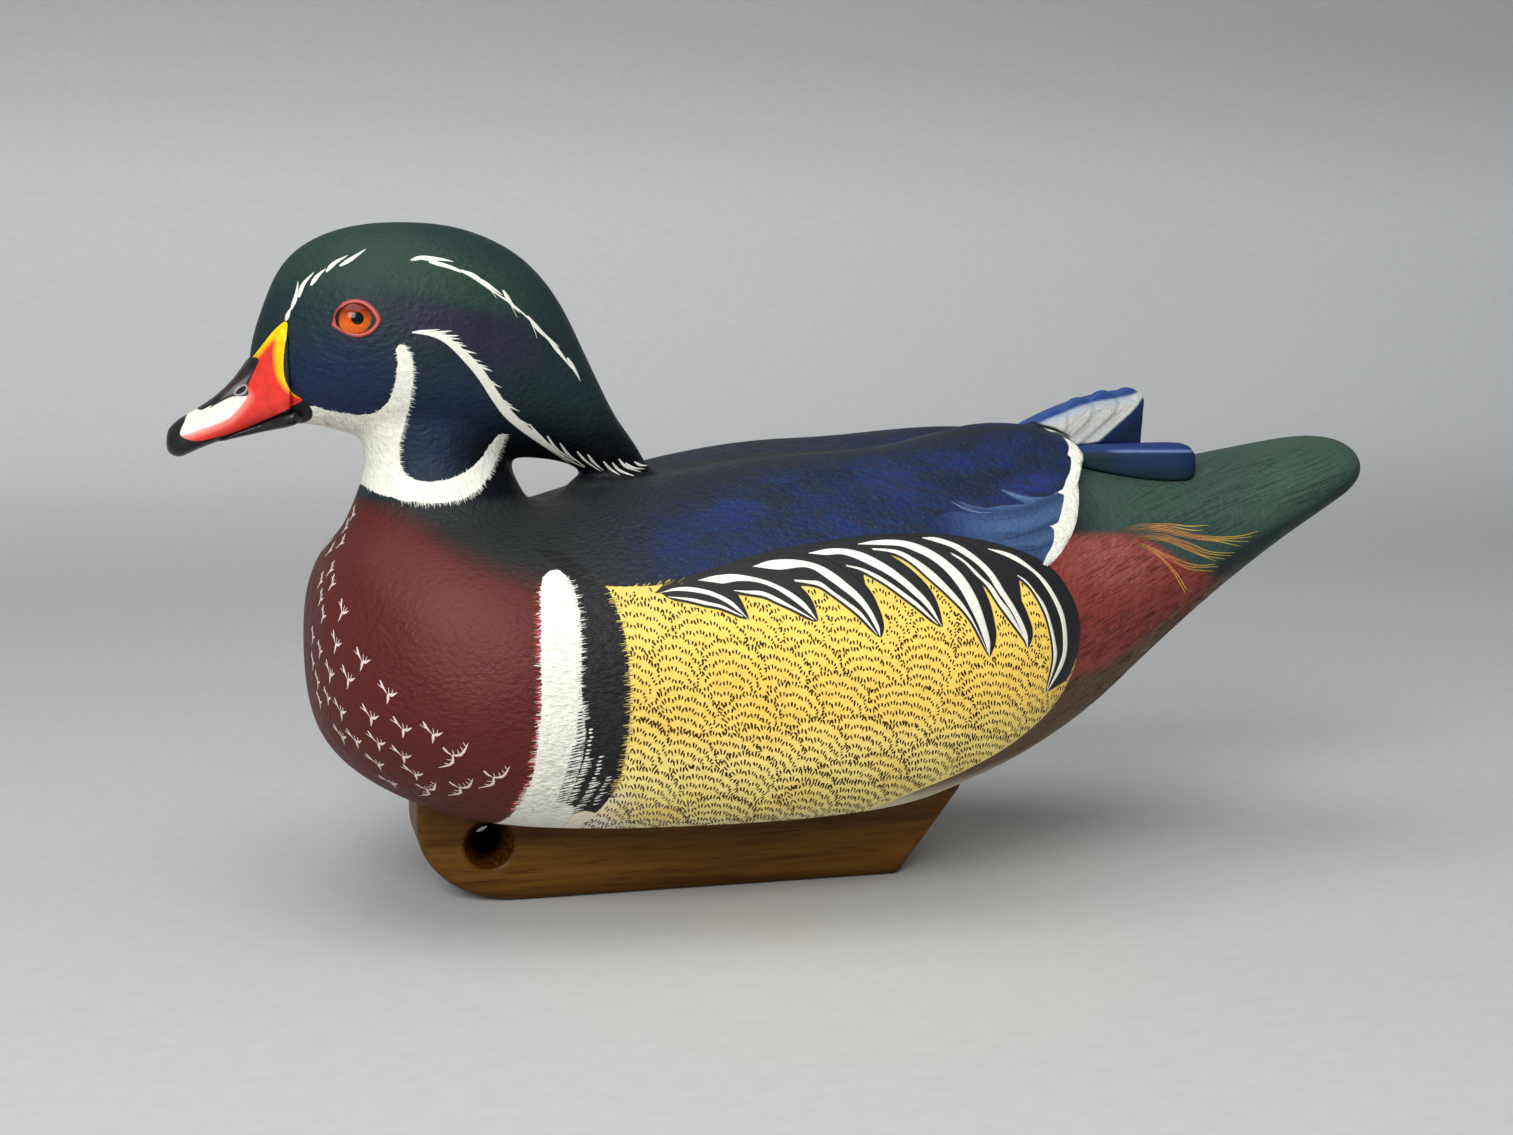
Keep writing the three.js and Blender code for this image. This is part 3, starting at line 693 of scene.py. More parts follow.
def painted_wood_material():
    """The feather paint over the carved body."""
    material, tree, shader = new_material(
        "painted_wood", Roughness=0.5, Specular_IOR_Level=0.16)
    bristle_across = noise(tree, 420.0, 2.0, along=(0.25, 1.0, 3.2))
    bristle_down = noise(tree, 700.0, 2.0)
    fine = noise(tree, 1300.0, 3.0)
    mottle = noise(tree, 240.0, 4.0)

    look = stored_colour(tree, "ground")
    wing = edge_of(tree, attribute(tree, "wing_in"), fine, 0.05)
    scrub = noise(tree, 300.0, 5.0, along=(0.4, 1.0, 1.3), rough=0.75)
    scrub = stretch(tree, scrub, 0.42, 0.62, 0.0, 0.6)
    feathered = blend(tree, scrub, stored_colour(tree, "wing_paint"), colour(*BACK_BLACK))
    dust = stretch(tree, noise(tree, 1100.0, 2.0), 0.62, 0.74, 0.0, 0.45)
    feathered = blend(tree, dust, feathered, colour(*WING_RIM))
    look = blend(tree, wing, look, feathered)
    slate = reckon(tree, "MULTIPLY", wing, edge_of(tree, attribute(tree, "slate"), bristle_down, 0.2))
    look = blend(tree, slate, look, stored_colour(tree, "slate_paint"))
    rear = reckon(tree, "MULTIPLY", wing, edge_of(tree, attribute(tree, "wing_white"), fine, 0.08))
    look = blend(tree, rear, look, colour(*WHITE))
    head = stretch(tree, attribute(tree, "head_in"), -1.5, 1.5)
    look = blend(tree, head, look, stored_colour(tree, "head_paint"))
    flank = edge_of(tree, attribute(tree, "flank_in"), bristle_down, 0.25)
    deep = stretch(tree, noise(tree, 75.0, 3.0), 0.45, 0.72, 0.0, 0.42)
    golden = blend(tree, deep, stored_colour(tree, "flank_paint"), colour(0.86, 0.50, 0.085))
    golden = blend(tree, stretch(tree, attribute(tree, "flank_black"), -0.2, 0.2), golden, colour(*BLACK))
    look = blend(tree, flank, look, golden)
    for name, bristle, rough, tint in (
            ("white_bar", bristle_across, 1.1, WHITE), ("black_bar", bristle_across, 0.9, BLACK),
            ("collar", bristle_down, 0.55, WHITE)):
        look = blend(tree, edge_of(tree, attribute(tree, name), bristle, rough), look, colour(*tint))
    look = bill_coats(tree, look, fine)

    tone = stretch(tree, mottle, 0.3, 0.7, 0.94, 1.04)
    look = blend(tree, 1.0, look, tone, "MULTIPLY")
    tree.links.new(look, shader.inputs["Base Color"])
    tree.links.new(stretch(tree, mottle, 0.3, 0.7, 0.44, 0.58), shader.inputs["Roughness"])
    stipple = noise(tree, 640.0, 2.5, along=(0.8, 1.0, 1.15), rough=0.55)
    calm = reckon(tree, "MULTIPLY", stretch(tree, flank, 0.0, 1.0, 1.0, 0.4),
                  stretch(tree, head, 0.0, 1.0, 1.0, 0.6))
    paint_bump(tree, shader, reckon(tree, "MULTIPLY", stipple, calm), 1.0, 0.0008)
    return material


def bill_material():
    material, tree, shader = new_material(
        "bill_paint", Roughness=0.4, Specular_IOR_Level=0.2, Coat_Weight=0.25, Coat_Roughness=0.1)
    fine = noise(tree, 1300.0, 3.0)
    look = bill_coats(tree, colour(*BLACK), fine)
    mottle = noise(tree, 300.0, 3.0)
    look = blend(tree, 1.0, look, stretch(tree, mottle, 0.3, 0.7, 0.8, 1.06), "MULTIPLY")
    tree.links.new(look, shader.inputs["Base Color"])
    paint_bump(tree, shader, mottle, 0.25, 0.0006)
    return material


# The painted skin and bill

def cheek_sheet(points, side):
    """The cheek's height round the eye as a function of x and z, from the ring of skin outside the lids."""
    dx, dz = points[:, 0] - EYE[0], points[:, 2] - EYE[2]
    ring = (np.hypot(dx, dz) > SOCKET[0]) & (np.hypot(dx, dz) < SOCKET[1]) & (points[:, 1] * side > 10)
    terms = np.stack([dx ** 0, dx, dz, dx * dx, dx * dz, dz * dz], axis=1)
    fit = np.linalg.lstsq(terms[ring], points[ring, 1] * side, rcond=None)[0]

    def height(x, z):
        dx, dz = x - EYE[0], z - EYE[2]
        return sum(k * term for k, term in zip(fit, (1, dx, dz, dx ** 2, dx * dz, dz ** 2)))

    return height


def level_sockets(points):
    """Smooths the skin behind the lids, in place; returns each side's cheek as a function of x and z."""
    cheeks = {}
    for side in (-1, 1):
        cheeks[side] = cheek_sheet(points, side)
        out = np.hypot(points[:, 0] - EYE[0], points[:, 2] - EYE[2])
        near = (out < SOCKET[0]) & (points[:, 1] * side > 10)
        level = side * cheeks[side](points[near, 0], points[near, 2])
        points[near, 1] += (level - points[near, 1]) * ramp(out[near], SOCKET[0], SOCKET[0] - 1.2)
    return cheeks


def put_flank(piece, x, z):
    """The gold paint, and how far each point is inside the flank and inside its black."""
    gold = Airbrush(len(x), GOLD)
    gold.coat(GOLD_PALE, 0.8 * ramp(z, 88, 98) + 0.5 * ramp(x, -30, -66))
    # Paler gold low on the flank: partly its own colour, partly painted light that brightens the lower flank
    gold.coat(GOLD_LOW_LIT, 0.9 * ramp(z, 68, 44))
    gold.coat(CREAM, ramp(z, 36, 24))
    gold.coat(WHITE, 0.75 * ramp(z, 50, 36) * ramp(x, -58, -74))
    set_colours(piece, "flank_paint", gold.values)
    flank = inside(x, z, FLANK_TOP + FLANK_LOW)
    shapes = [np.concatenate([above[::3], below[::-3]]) for above, below in black_shapes()]
    rim = 1.9 - flank - FAR * ((z < 88) | (x < -56))
    set_numbers(piece, "flank_black", np.max([rim] + [inside(x, z, shape) for shape in shapes], axis=0))
    rear_of_bar = np.where(z < 36.5, past(BAR_MIDDLE, x, z) - 4.0, past(BAR_REAR, x, z))
    set_numbers(piece, "flank_in", np.minimum(flank, rear_of_bar))


def put_bars(piece, x, z):
    """How far each point is inside the white bar and inside the black one behind it."""
    bar_end = np.where(z < 39, past(BAR_MIDDLE, x, z) - 5.0, past(BAR_MIDDLE, x, z))
    white = np.minimum(np.minimum(past(BREAST_REAR, x, z), -bar_end), 101.2 - z)
    set_numbers(piece, "white_bar", white)
    foot = 0.8 * (z - 35.5 + 0.45 * (x + 74))
    black = np.minimum(past(BAR_MIDDLE, x, z), -past(BAR_REAR, x, z))
    set_numbers(piece, "black_bar", np.minimum(black, foot) - FAR * (z > 105))


def decoy_skin():
    """The whole painted body in one skin; returns its surface and the cheeks' heights."""
    points, quads = fused(SKIN_NODES, SKIN_VOXEL, SEAM, mounds=[CREST_REST])
    points = smooth_skin(points, quads)
    cheeks = level_sockets(points)
    piece = mesh_object("decoy_skin", points, quads, [painted_wood_material()])
    x, y, z = points.T
    for name, paint in (("ground", body_ground), ("head_paint", head_paint), ("wing_paint", wing_paint),
                        ("slate_paint", slate_paint)):
        set_colours(piece, name, paint(x, y, z))
    put_flank(piece, x, z)
    put_bars(piece, x, z)
    put_bill_lines(piece, x, z)
    set_numbers(piece, "head_in", np.minimum(z - 116, 3 - distance_to(("head", "neck"), points)))
    set_numbers(piece, "collar", inside(x, z, CHIN_AND_COLLAR))
    set_numbers(piece, "wing_in", 0.75 - distance_to(("wing_left", "wing_right"), points))
    set_numbers(piece, "slate", inside(x, z, SLATE_PATCH))
    set_numbers(piece, "wing_white", past(WING_WHITE, x, z))
    part_of(piece, "painted_wood", *SKIN_NODES)
    return Surface(points, quads), cheeks


def bill():
    for name, node in (("bill_top", "bill_upper"), ("bill_bottom", "bill_lower")):
        points, quads = fused((node,), BILL_VOXEL, 0.3, grow=0.1)
        points = Links(quads, len(points)).relax(points, 14, 0.5)
        piece = mesh_object(name, points, quads, [bill_material()])
        put_bill_lines(piece, points[:, 0], points[:, 2])
        part_of(piece, "bill_paint", node)


# Raised strokes of paint

# How deep a stroke's edges lie in the surface, how high its middle stands, and its half size on the unwrap
MARK_SINK = 0.07
MARK_HEIGHT = 0.09
UNWRAP_PATCH = 0.0015
# Where each side's part of the unwrap lies: half the square each, the skin's side view inside it
UNWRAP_MARGIN = (0.02, 0.05)
UNWRAP_SIZE = (0.46, 0.9)
VIEW_CORNER = (-185, 0)
VIEW_SIZE = (370, 195)


class Marks:
    """Strokes of paint with a little body, laid on the surface and joined into one piece."""

    def __init__(self, surface):
        self.surface = surface
        self.points, self.faces, self.tints, self.places = [], [], [], []
        self.count = 0

    def lines(self, xz, half_width, side, tint, across=3, height=MARK_HEIGHT):
        """Strokes along lines of side-view points, xz as (strokes, stations, 2)."""
        xz = np.asarray(xz, float)
        places, normals = self.surface.seen_from(xz[..., 0], xz[..., 1], side)
        self.lay(places, normals, half_width, side, tint, across, height)

    def lay(self, places, normals, half_width, side, tint, across=3, height=MARK_HEIGHT):
        """Strokes along lines of places on the surface; half_width and tint may differ along them."""
        kept = np.isfinite(places).all(axis=(1, 2))
        stride = np.linalg.norm(np.diff(places, axis=1), axis=2)
        kept &= ~(stride > 4 * np.median(stride, axis=1)[:, None] + 0.6).any(axis=1)
        places, normals = places[kept], normals[kept]
        if not len(places):
            return
        stations = places.shape[1]
        half_width = np.broadcast_to(half_width, (len(kept), stations))[kept]
        tint = np.broadcast_to(tint, (len(kept), stations, 3))[kept]
        forward = np.gradient(places, axis=1)
        cross = np.cross(normals, forward)
        cross /= np.maximum(np.linalg.norm(cross, axis=2), 1e-9)[..., None]
        reach = np.array([-1, 0, 1] if across == 3 else [-1, -0.82, 0, 0.82, 1])
        rise = np.array([-MARK_SINK, height, -MARK_SINK] if across == 3
                        else [-MARK_SINK, height * 0.8, height, height * 0.8, -MARK_SINK])
        out = places[:, :, None] + cross[:, :, None] * (reach[:, None] * half_width[:, :, None, None])
        if across == 5:
            out, up = self.surface.nearest(out)
        else:
            up = np.repeat(normals[:, :, None], across, axis=2)
        out = out + up * rise[:, None]
        self.store(out, side, np.repeat(tint[:, :, None], across, axis=2), reach)

    def sheet(self, upper, lower, side, tint, height, rows=5):
        """A flat coat between two side-view lines that have as many stations."""
        width = np.linalg.norm(upper - lower, axis=1)
        step = np.clip(0.12 / np.maximum(width, 1e-6), 0.02, 0.3)[:, None]
        middle = step + (1 - 2 * step) * np.linspace(0, 1, rows)
        share = np.concatenate([0 * step, middle, 1 + 0 * step], axis=1)
        xz = upper[:, None] * (1 - share[..., None]) + lower[:, None] * share[..., None]
        places, normals = self.surface.seen_from(xz[..., 0], xz[..., 1], side)
        if not np.isfinite(places).all():
            return
        rise = np.array([-MARK_SINK, *[height] * rows, -MARK_SINK])
        out = places + normals * rise[:, None]
        self.store(out[None], side, np.broadcast_to(tint, out.shape)[None], np.linspace(-1, 1, rows + 2))

    def store(self, grid, side, tint, reach):
        """Adds grids of points (strokes, stations, across, 3) as sheets, each with its part of the unwrap."""
        strokes, stations, across = grid.shape[:3]
        index = self.count + np.arange(strokes * stations * across).reshape(strokes, stations, across)
        near, far = index[:, :-1], index[:, 1:]
        quads = np.stack([near[..., :-1], far[..., :-1], far[..., 1:], near[..., 1:]], axis=-1)
        flat = grid.reshape(-1, 3)
        sample = quads.reshape(-1, 4)[:: max(1, quads.size // 4000)]
        turned = np.cross(flat[sample[:, 1] - self.count] - flat[sample[:, 0] - self.count],
                          flat[sample[:, 3] - self.count] - flat[sample[:, 0] - self.count])
        if (turned[:, 1] * side).sum() < 0:
            quads = quads[..., ::-1]
        root = grid[:, 0, across // 2]
        share = (root[:, [0, 2]] - VIEW_CORNER) / VIEW_SIZE
        corner = UNWRAP_MARGIN + share * UNWRAP_SIZE + [0.5 if side > 0 else 0.0, 0.0]
        along = np.linspace(-1, 1, stations)[:, None] + 0 * reach
        patch = UNWRAP_PATCH * np.stack([along, 0 * along + reach], axis=-1)
        uv = corner[:, None, None] + patch
        self.points.append(flat)
        self.faces.append(quads.reshape(-1, 4))
        self.tints.append(tint.reshape(-1, 3))
        self.places.append(uv.reshape(-1, 2))
        self.count += len(flat)

    def piece(self, name, material):
        points = np.concatenate(self.points)
        faces = np.concatenate(self.faces)
        piece = mesh_object(name, points, faces, [material])
        set_colours(piece, "tint", np.concatenate(self.tints))
        layer = piece.data.uv_layers.new(name="OFBake")
        corners = np.empty(len(piece.data.loops), np.int32)
        piece.data.loops.foreach_get("vertex_index", corners)
        layer.data.foreach_set("uv", np.concatenate(self.places)[corners].astype(np.float32).ravel())
        part_of(piece, "painted_wood")
        return piece


def taper(stations, thick, thin=0.04, fullest=0.3):
    """Half widths of a stroke: a blunt start, fullest early and a fine tip."""
    t = np.linspace(0, 1, stations)
    start = np.sqrt(np.clip(t / fullest, 0, 1))
    end = np.clip((1 - t) / (1 - fullest), 0, 1) ** 0.8
    return thin + (thick - thin) * np.where(t < fullest, np.maximum(start, 0.35), end)


def shifted(line, by):
    """The line moved to its left by that much at each point: up for a line that runs backwards."""
    ahead = np.gradient(line, axis=0)
    left = np.stack([-ahead[:, 1], ahead[:, 0]], axis=1)
    left /= np.maximum(np.linalg.norm(left, axis=1), 1e-9)[:, None]
    return line + left * np.broadcast_to(by, len(line))[:, None]


def resampled(points, count):
    """That many points spread evenly along a smooth line."""
    line = smooth_line(points, 6)
    length = np.concatenate([[0], np.cumsum(np.linalg.norm(np.diff(line, axis=0), axis=1))])
    even = np.linspace(0, length[-1], count)
    return np.stack([np.interp(even, length, line[:, axis]) for axis in range(2)], axis=1)


def mark_material():
    """Artist's paint of the strokes, its colour stored with each point."""
    material, tree, shader = new_material("stroke_paint", Roughness=0.55, Specular_IOR_Level=0.25)
    fine = noise(tree, 1500.0, 3.0)
    mottle = stretch(tree, fine, 0.25, 0.75, 0.86, 1.06)
    look = blend(tree, 1.0, stored_colour(tree, "tint"), mottle, "MULTIPLY")
    tree.links.new(look, shader.inputs["Base Color"])
    paint_bump(tree, shader, fine, 0.2)
    return material


BROW = [
    [(-149.0, 165.0), (-148.2, 167.0), (-147.4, 168.6)], [(-147.5, 168.0), (-146.2, 171.4), (-145.4, 175.4)],
    [(-145.4, 171.2), (-144.2, 174.6), (-141.2, 177.9)], [(-142.2, 174.4), (-140.4, 176.9), (-138.1, 178.9)],
    [(-138.1, 178.0), (-135.9, 180.3), (-132.3, 182.4)], [(-134.5, 179.6), (-131.2, 181.6), (-127.4, 184.1)],
]
CROWN_LINE = [
    [(-115.8, 181.1), (-112.6, 181.9), (-109.0, 181.9)], [(-112.2, 181.4), (-108.0, 181.4), (-104.4, 180.7)],
    [(-111.0, 180.7), (-106.6, 179.6), (-102.3, 177.7)], [(-102.5, 178.4), (-98.0, 176.4), (-94.2, 172.7)],
    [(-98.2, 176.4), (-94.4, 173.9), (-91.3, 171.7)], [(-91.0, 173.0), (-88.8, 169.3), (-86.4, 166.8)],
    [(-84.4, 166.0), (-80.5, 161.5), (-75.3, 157.3)], [(-78.2, 159.2), (-74.4, 154.8), (-71.8, 151.3)],
    [(-73.0, 154.3), (-70.7, 150.8), (-69.2, 147.7)],
]
CROWN_BASE = [
    (-113.0, 181.4), (-106.5, 180.0), (-100.0, 176.9), (-94.0, 172.8), (-88.4, 169.0), (-83.0, 164.3),
    (-77.6, 159.0), (-73.2, 153.6), (-69.9, 148.9),
]
CROWN_HAIRS = [
    [(-97.0, 175.8), (-95.0, 173.6), (-93.0, 170.9)], [(-90.6, 171.6), (-89.0, 169.0), (-87.4, 165.6)],
    [(-83.6, 164.6), (-82.6, 162.4), (-81.8, 159.8)], [(-80.0, 160.6), (-77.6, 158.4), (-75.0, 155.0)],
]
CREST_LOW = [
    (-116.2, 161.7), (-111.7, 160.9), (-107.7, 159.0), (-104.2, 155.7), (-101.0, 152.1), (-98.2, 148.5),
    (-95.4, 144.1), (-91.6, 138.9), (-86.5, 134.4), (-80.4, 130.1), (-74.1, 126.0), (-68.2, 123.2),
    (-62.6, 121.7), (-56.0, 120.9), (-51.0, 121.3),
]
CREST_BRANCHES = [
    [(-116.4, 161.9), (-112.4, 162.3), (-109.0, 162.7)], [(-113.0, 161.6), (-109.4, 161.9), (-105.6, 162.3)],
    [(-110.4, 161.1), (-107.0, 160.9), (-103.8, 161.0)],
]
CREST_TAIL = [
    [(-84.0, 136.2), (-80.0, 131.8), (-73.6, 126.4)], [(-78.6, 132.6), (-75.6, 128.6), (-70.2, 125.0)],
    [(-74.8, 130.4), (-72.0, 126.8), (-67.0, 123.2)], [(-69.8, 127.8), (-67.0, 124.8), (-62.6, 121.8)],
    [(-66.8, 126.9), (-64.8, 124.4), (-61.8, 122.0)], [(-62.2, 124.8), (-60.2, 122.6), (-57.2, 120.6)],
    [(-59.6, 124.4), (-57.4, 122.0), (-53.2, 120.3)], [(-57.8, 125.4), (-55.4, 122.9), (-50.8, 121.2)],
    [(-55.8, 124.1), (-53.2, 122.5), (-49.4, 122.0)], [(-53.0, 124.3), (-51.0, 123.2), (-48.2, 122.7)],
]


def head_lines(surface, material):
    """White brow, crown and crest lines, stroke by stroke."""
    marks = Marks(surface)
    for side in (-1, 1):
        for lines, stations, width, across in (
                (BROW, 9, taper(9, 0.8), 5), (CROWN_LINE, 9, taper(9, 0.75), 5),
                (CROWN_HAIRS, 7, taper(7, 0.24), 3), (CREST_BRANCHES, 7, taper(7, 0.5), 5),
                (CREST_TAIL, 9, taper(9, 0.5, fullest=0.35), 5),
                ([CROWN_BASE], 41, taper(41, 0.5, 0.16), 3)):
            for line in lines:
                marks.lines([resampled(line, stations)], width, side, WHITE, across)
        crest_band(marks, side)
    return marks.piece("head_lines", material)


def crest_band(marks, side):
    """The band along the crest's lower edge: a flat sheet with slanting strokes on it."""
    rng = np.random.default_rng(11)
    low = resampled(CREST_LOW, 61)
    place = np.arange(61)
    wide = np.interp(place, [0, 4, 13, 25, 35, 42, 48], [0.4, 1.5, 2.6, 2.8, 2.0, 0.9, 0.2])
    marks.sheet(shifted(low, wide)[:49], low[:49], side, WHITE, MARK_HEIGHT)
    for start in np.arange(1.0, 43.0, 1.2):
        root = np.array([np.interp(start, place, low[:, axis]) for axis in range(2)])
        slant = np.interp(start, [0, 8, 20, 32, 43], [2, -9, -22, -28, -40])
        turn = math.radians(slant + rng.uniform(-3, 3))
        way = np.array([math.cos(turn), math.sin(turn)])
        lift = np.interp(start, place, wide) * rng.uniform(0.2, 0.9)
        reach = np.linspace(-0.6, rng.uniform(3.6, 5.2), 7)[:, None]
        stroke = root + np.array([0.4, 0.9]) * lift + way * reach
        marks.lines([stroke], taper(7, rng.uniform(0.5, 0.64)), side, WHITE, 3, 0.13)


def hairs(marks, rng, places, slope, spread, length, half_width, side, tint):
    """Short fine strokes, each from a side-view place along its slope, a little astray."""
    count = len(places)
    slope = np.broadcast_to(slope, (count, 2)) + rng.uniform(-spread, spread, (count, 2))
    reach = rng.uniform(*length, count)[:, None, None]
    xz = places[:, None] + slope[:, None] * reach * np.linspace(0, 1, 4)[:, None]
    marks.lines(xz, taper(4, half_width), side, tint)


def places_between(rng, low, high, count, front, rear):
    """Random side-view places well behind the line front and ahead of the line rear."""
    spots = rng.uniform(low, high, (count, 2))
    clear = np.minimum(past(front, *spots.T), -past(rear, *spots.T))
    return spots[clear > 0.8]


def some(rng, places, share):
    return places[rng.random(len(places)) < share]


def collar_fringe(marks, rng, side):
    """Hairs across the edge of the white chin and collar."""
    collar = smooth_line(CHIN_AND_COLLAR, 8, closed=True)
    ahead = np.roll(collar, -3, axis=0) - collar
    outward = np.stack([-ahead[:, 1], ahead[:, 0]], axis=1)
    outward /= np.linalg.norm(outward, axis=1)[:, None]
    for i in range(4, len(collar) - 60):
        if collar[i, 0] < -139:
            continue
        slope = np.array([0.5, -0.5]) if collar[i, 1] > 126 else np.array([0.25, -0.6])
        starts = collar[i] - outward[i] * 0.7 + rng.uniform(-0.5, 0.5, (3, 2))
        hairs(marks, rng, starts, outward[i] * 0.7 + slope * 0.5, 0.2, (1.0, 1.9), 0.12, side, WHITE)


# The edges of the bars that hairs cross: the line, the way they point, their colour, from and to which
# height, and how far back they start
BAR_EDGES = [
    (BREAST_REAR, -1, (0.46, 0.07, 0.07), 36, 98, 0.2), (BREAST_REAR, -1, WHITE, 36, 98, 0.7),
    (BAR_MIDDLE, 1, WHITE, 64, 99, 0.7), (BAR_MIDDLE, -1, BLACK, 44, 99, 0.7),
    (BAR_REAR, 1, BLACK, 41, 96, 0.7), (BAR_REAR, -1, GOLD_PALE, 42, 97, 0.7),
]


def bar_fringes(marks, rng, side):
    """Hairs across the bars' edges and the gold's upper edge, and the dashes where the black bar frays."""
    for line, way, tint, low, high, back in BAR_EDGES:
        smooth = smooth_line(line)
        heights = rng.uniform(low, high, int((high - low) * 2.6))
        starts = np.stack([np.interp(heights, smooth[:, 0], smooth[:, 1]) - way * back, heights], axis=1)
        hairs(marks, rng, starts, (way, 0.15 * way), 0.16, (0.8, 2.3), 0.17, side, tint)
    fringe = resampled(FLANK_TOP[5:8], 24) + rng.uniform((-3.0, -1.2), (0.3, -0.4), (24, 2))
    hairs(marks, rng, fringe, (0.8, 0.5), 0.2, (1.0, 2.2), 0.24, side, GOLD_PALE)
    for (x0, z0), (x1, z1), long, gap, tint in BAR_DASHES:
        share = np.arange(0, 1, gap / math.hypot(x1 - x0, z1 - z0))
        spots = np.stack([x0 + (x1 - x0) * share, z0 + (z1 - z0) * share], axis=1)
        spots = spots + rng.uniform(-0.25, 0.25, spots.shape)
        hairs(marks, rng, spots, (1.0, 0.28), 0.1, (0.8 * long, 1.15 * long), 0.52, side, tint)


def feather_hairs(surface, material):
    """Short hairs of paint in and along the white chin, collar and bars."""
    marks = Marks(surface)
    rng = np.random.default_rng(21)
    spots = rng.uniform((-140, 115), (-90, 160), (6000, 2))
    in_collar = spots[inside(*spots.T, CHIN_AND_COLLAR) > 0.5]
    in_white = places_between(rng, (-92, 36), (-76, 100), 2600, BREAST_REAR, BAR_MIDDLE)
    in_black = places_between(rng, (-82, 42), (-66, 100), 1600, BAR_MIDDLE, BAR_REAR)
    for side in (-1, 1):
        for tint in ((0.55, 0.54, 0.47), (0.90, 0.90, 0.84)):
            hairs(marks, rng, some(rng, in_collar, 0.4), (0.35, -0.9), 0.25, (0.9, 1.9), 0.1, side, tint)
            hairs(marks, rng, some(rng, in_white, 0.4), (1.0, 0.1), 0.25, (0.9, 1.9), 0.1, side, tint)
        soft_black = (0.035, 0.035, 0.036)
        hairs(marks, rng, some(rng, in_black, 0.6), (1.0, 0.1), 0.3, (0.9, 1.9), 0.1, side, soft_black)
        collar_fringe(marks, rng, side)
        bar_fringes(marks, rng, side)
    return marks.piece("edge_hairs", material)


# The dashes where the black bar frays into the white: from, to, length, spacing and colour
BAR_DASHES = [
    ((-80.6, 66.0), (-81.2, 57.0), 2.3, 0.95, (0.030, 0.040, 0.050)),
    ((-82.0, 57.0), (-85.0, 39.5), 4.0, 0.92, (0.026, 0.032, 0.042)),
    ((-77.6, 61.5), (-78.4, 53.0), 1.2, 1.15, WHITE),
    ((-78.9, 53.0), (-82.4, 38.5), 2.4, 0.85, WHITE),
    ((-75.2, 53.5), (-76.4, 46.0), 1.4, 1.0, WHITE),
    ((-76.8, 46.0), (-79.6, 36.5), 2.6, 0.85, WHITE),
    ((-72.6, 47.5), (-75.6, 38.0), 1.7, 1.0, (0.60, 0.61, 0.58)),
    ((-80.4, 42.0), (-79.6, 35.0), 3.2, 0.95, (0.022, 0.024, 0.028)),
]


BREAST_SLIM = [
    (-135.9, 104.1), (-138.7, 101.5), (-140.8, 98.8), (-139.4, 98.0), (-142.0, 94.4), (-139.5, 95.1),
    (-142.4, 90.6), (-142.2, 86.8), (-144.7, 80.1), (-143.3, 77.6), (-144.9, 73.1), (-144.0, 68.8),
    (-143.6, 63.3), (-141.8, 65.7), (-132.2, 111.2), (-134.2, 107.6),
]
BREAST_FORKED = [
    (-137.7, 89.2), (-139.6, 80.9), (-133.5, 77.8), (-141.2, 72.6), (-137.0, 72.5), (-127.5, 69.9),
    (-138.8, 63.0), (-131.7, 63.1), (-138.5, 55.3), (-135.2, 55.2), (-129.9, 55.8), (-124.0, 60.7),
    (-116.7, 59.9), (-123.8, 52.7), (-129.7, 48.9), (-120.6, 47.3), (-125.8, 42.4),
]
BREAST_CRESCENTS = [(-111.9, 54.2), (-117.5, 42.3), (-109.6, 44.1), (-101.5, 47.9)]
TICK_TINT = (0.760, 0.620, 0.590)
FORK_STEM = [(-2.0, 3.0), (-1.1, 1.4), (0.0, 0.0)]
FORK_ARM = [(0.0, 0.0), (1.1, 0.0), (2.4, 0.7)]
FORK_FOOT = [(0.0, 0.2), (0.0, -0.9), (-0.4, -2.2)]
FORK_HAIRS = [[(0.3, 0.1), (0.2, 1.6)], [(-1.0, 1.2), (-2.8, 2.2)], [(0.9, 0.0), (1.3, 1.3)]]
CRESCENT_HAIRS = [
    [(0.6, 0.1), (0.3, 1.6)], [(1.8, 0.4), (1.6, 1.9)], [(3.0, 1.4), (2.4, 2.7)],
    [(3.9, 2.6), (3.2, 3.8)], [(-0.2, -1.4), (-1.6, -1.3)], [(-1.0, -2.8), (-2.3, -2.4)],
]
CRESCENT_STEM = [(-2.0, 2.2), (-1.0, 0.9), (0.2, 0.0)]
CRESCENT_ARM = [(0.0, 0.0), (2.4, 0.4), (4.6, 3.8)]
CRESCENT_FOOT = [(0.1, 0.2), (-0.4, -2.4), (-4.2, -4.2)]


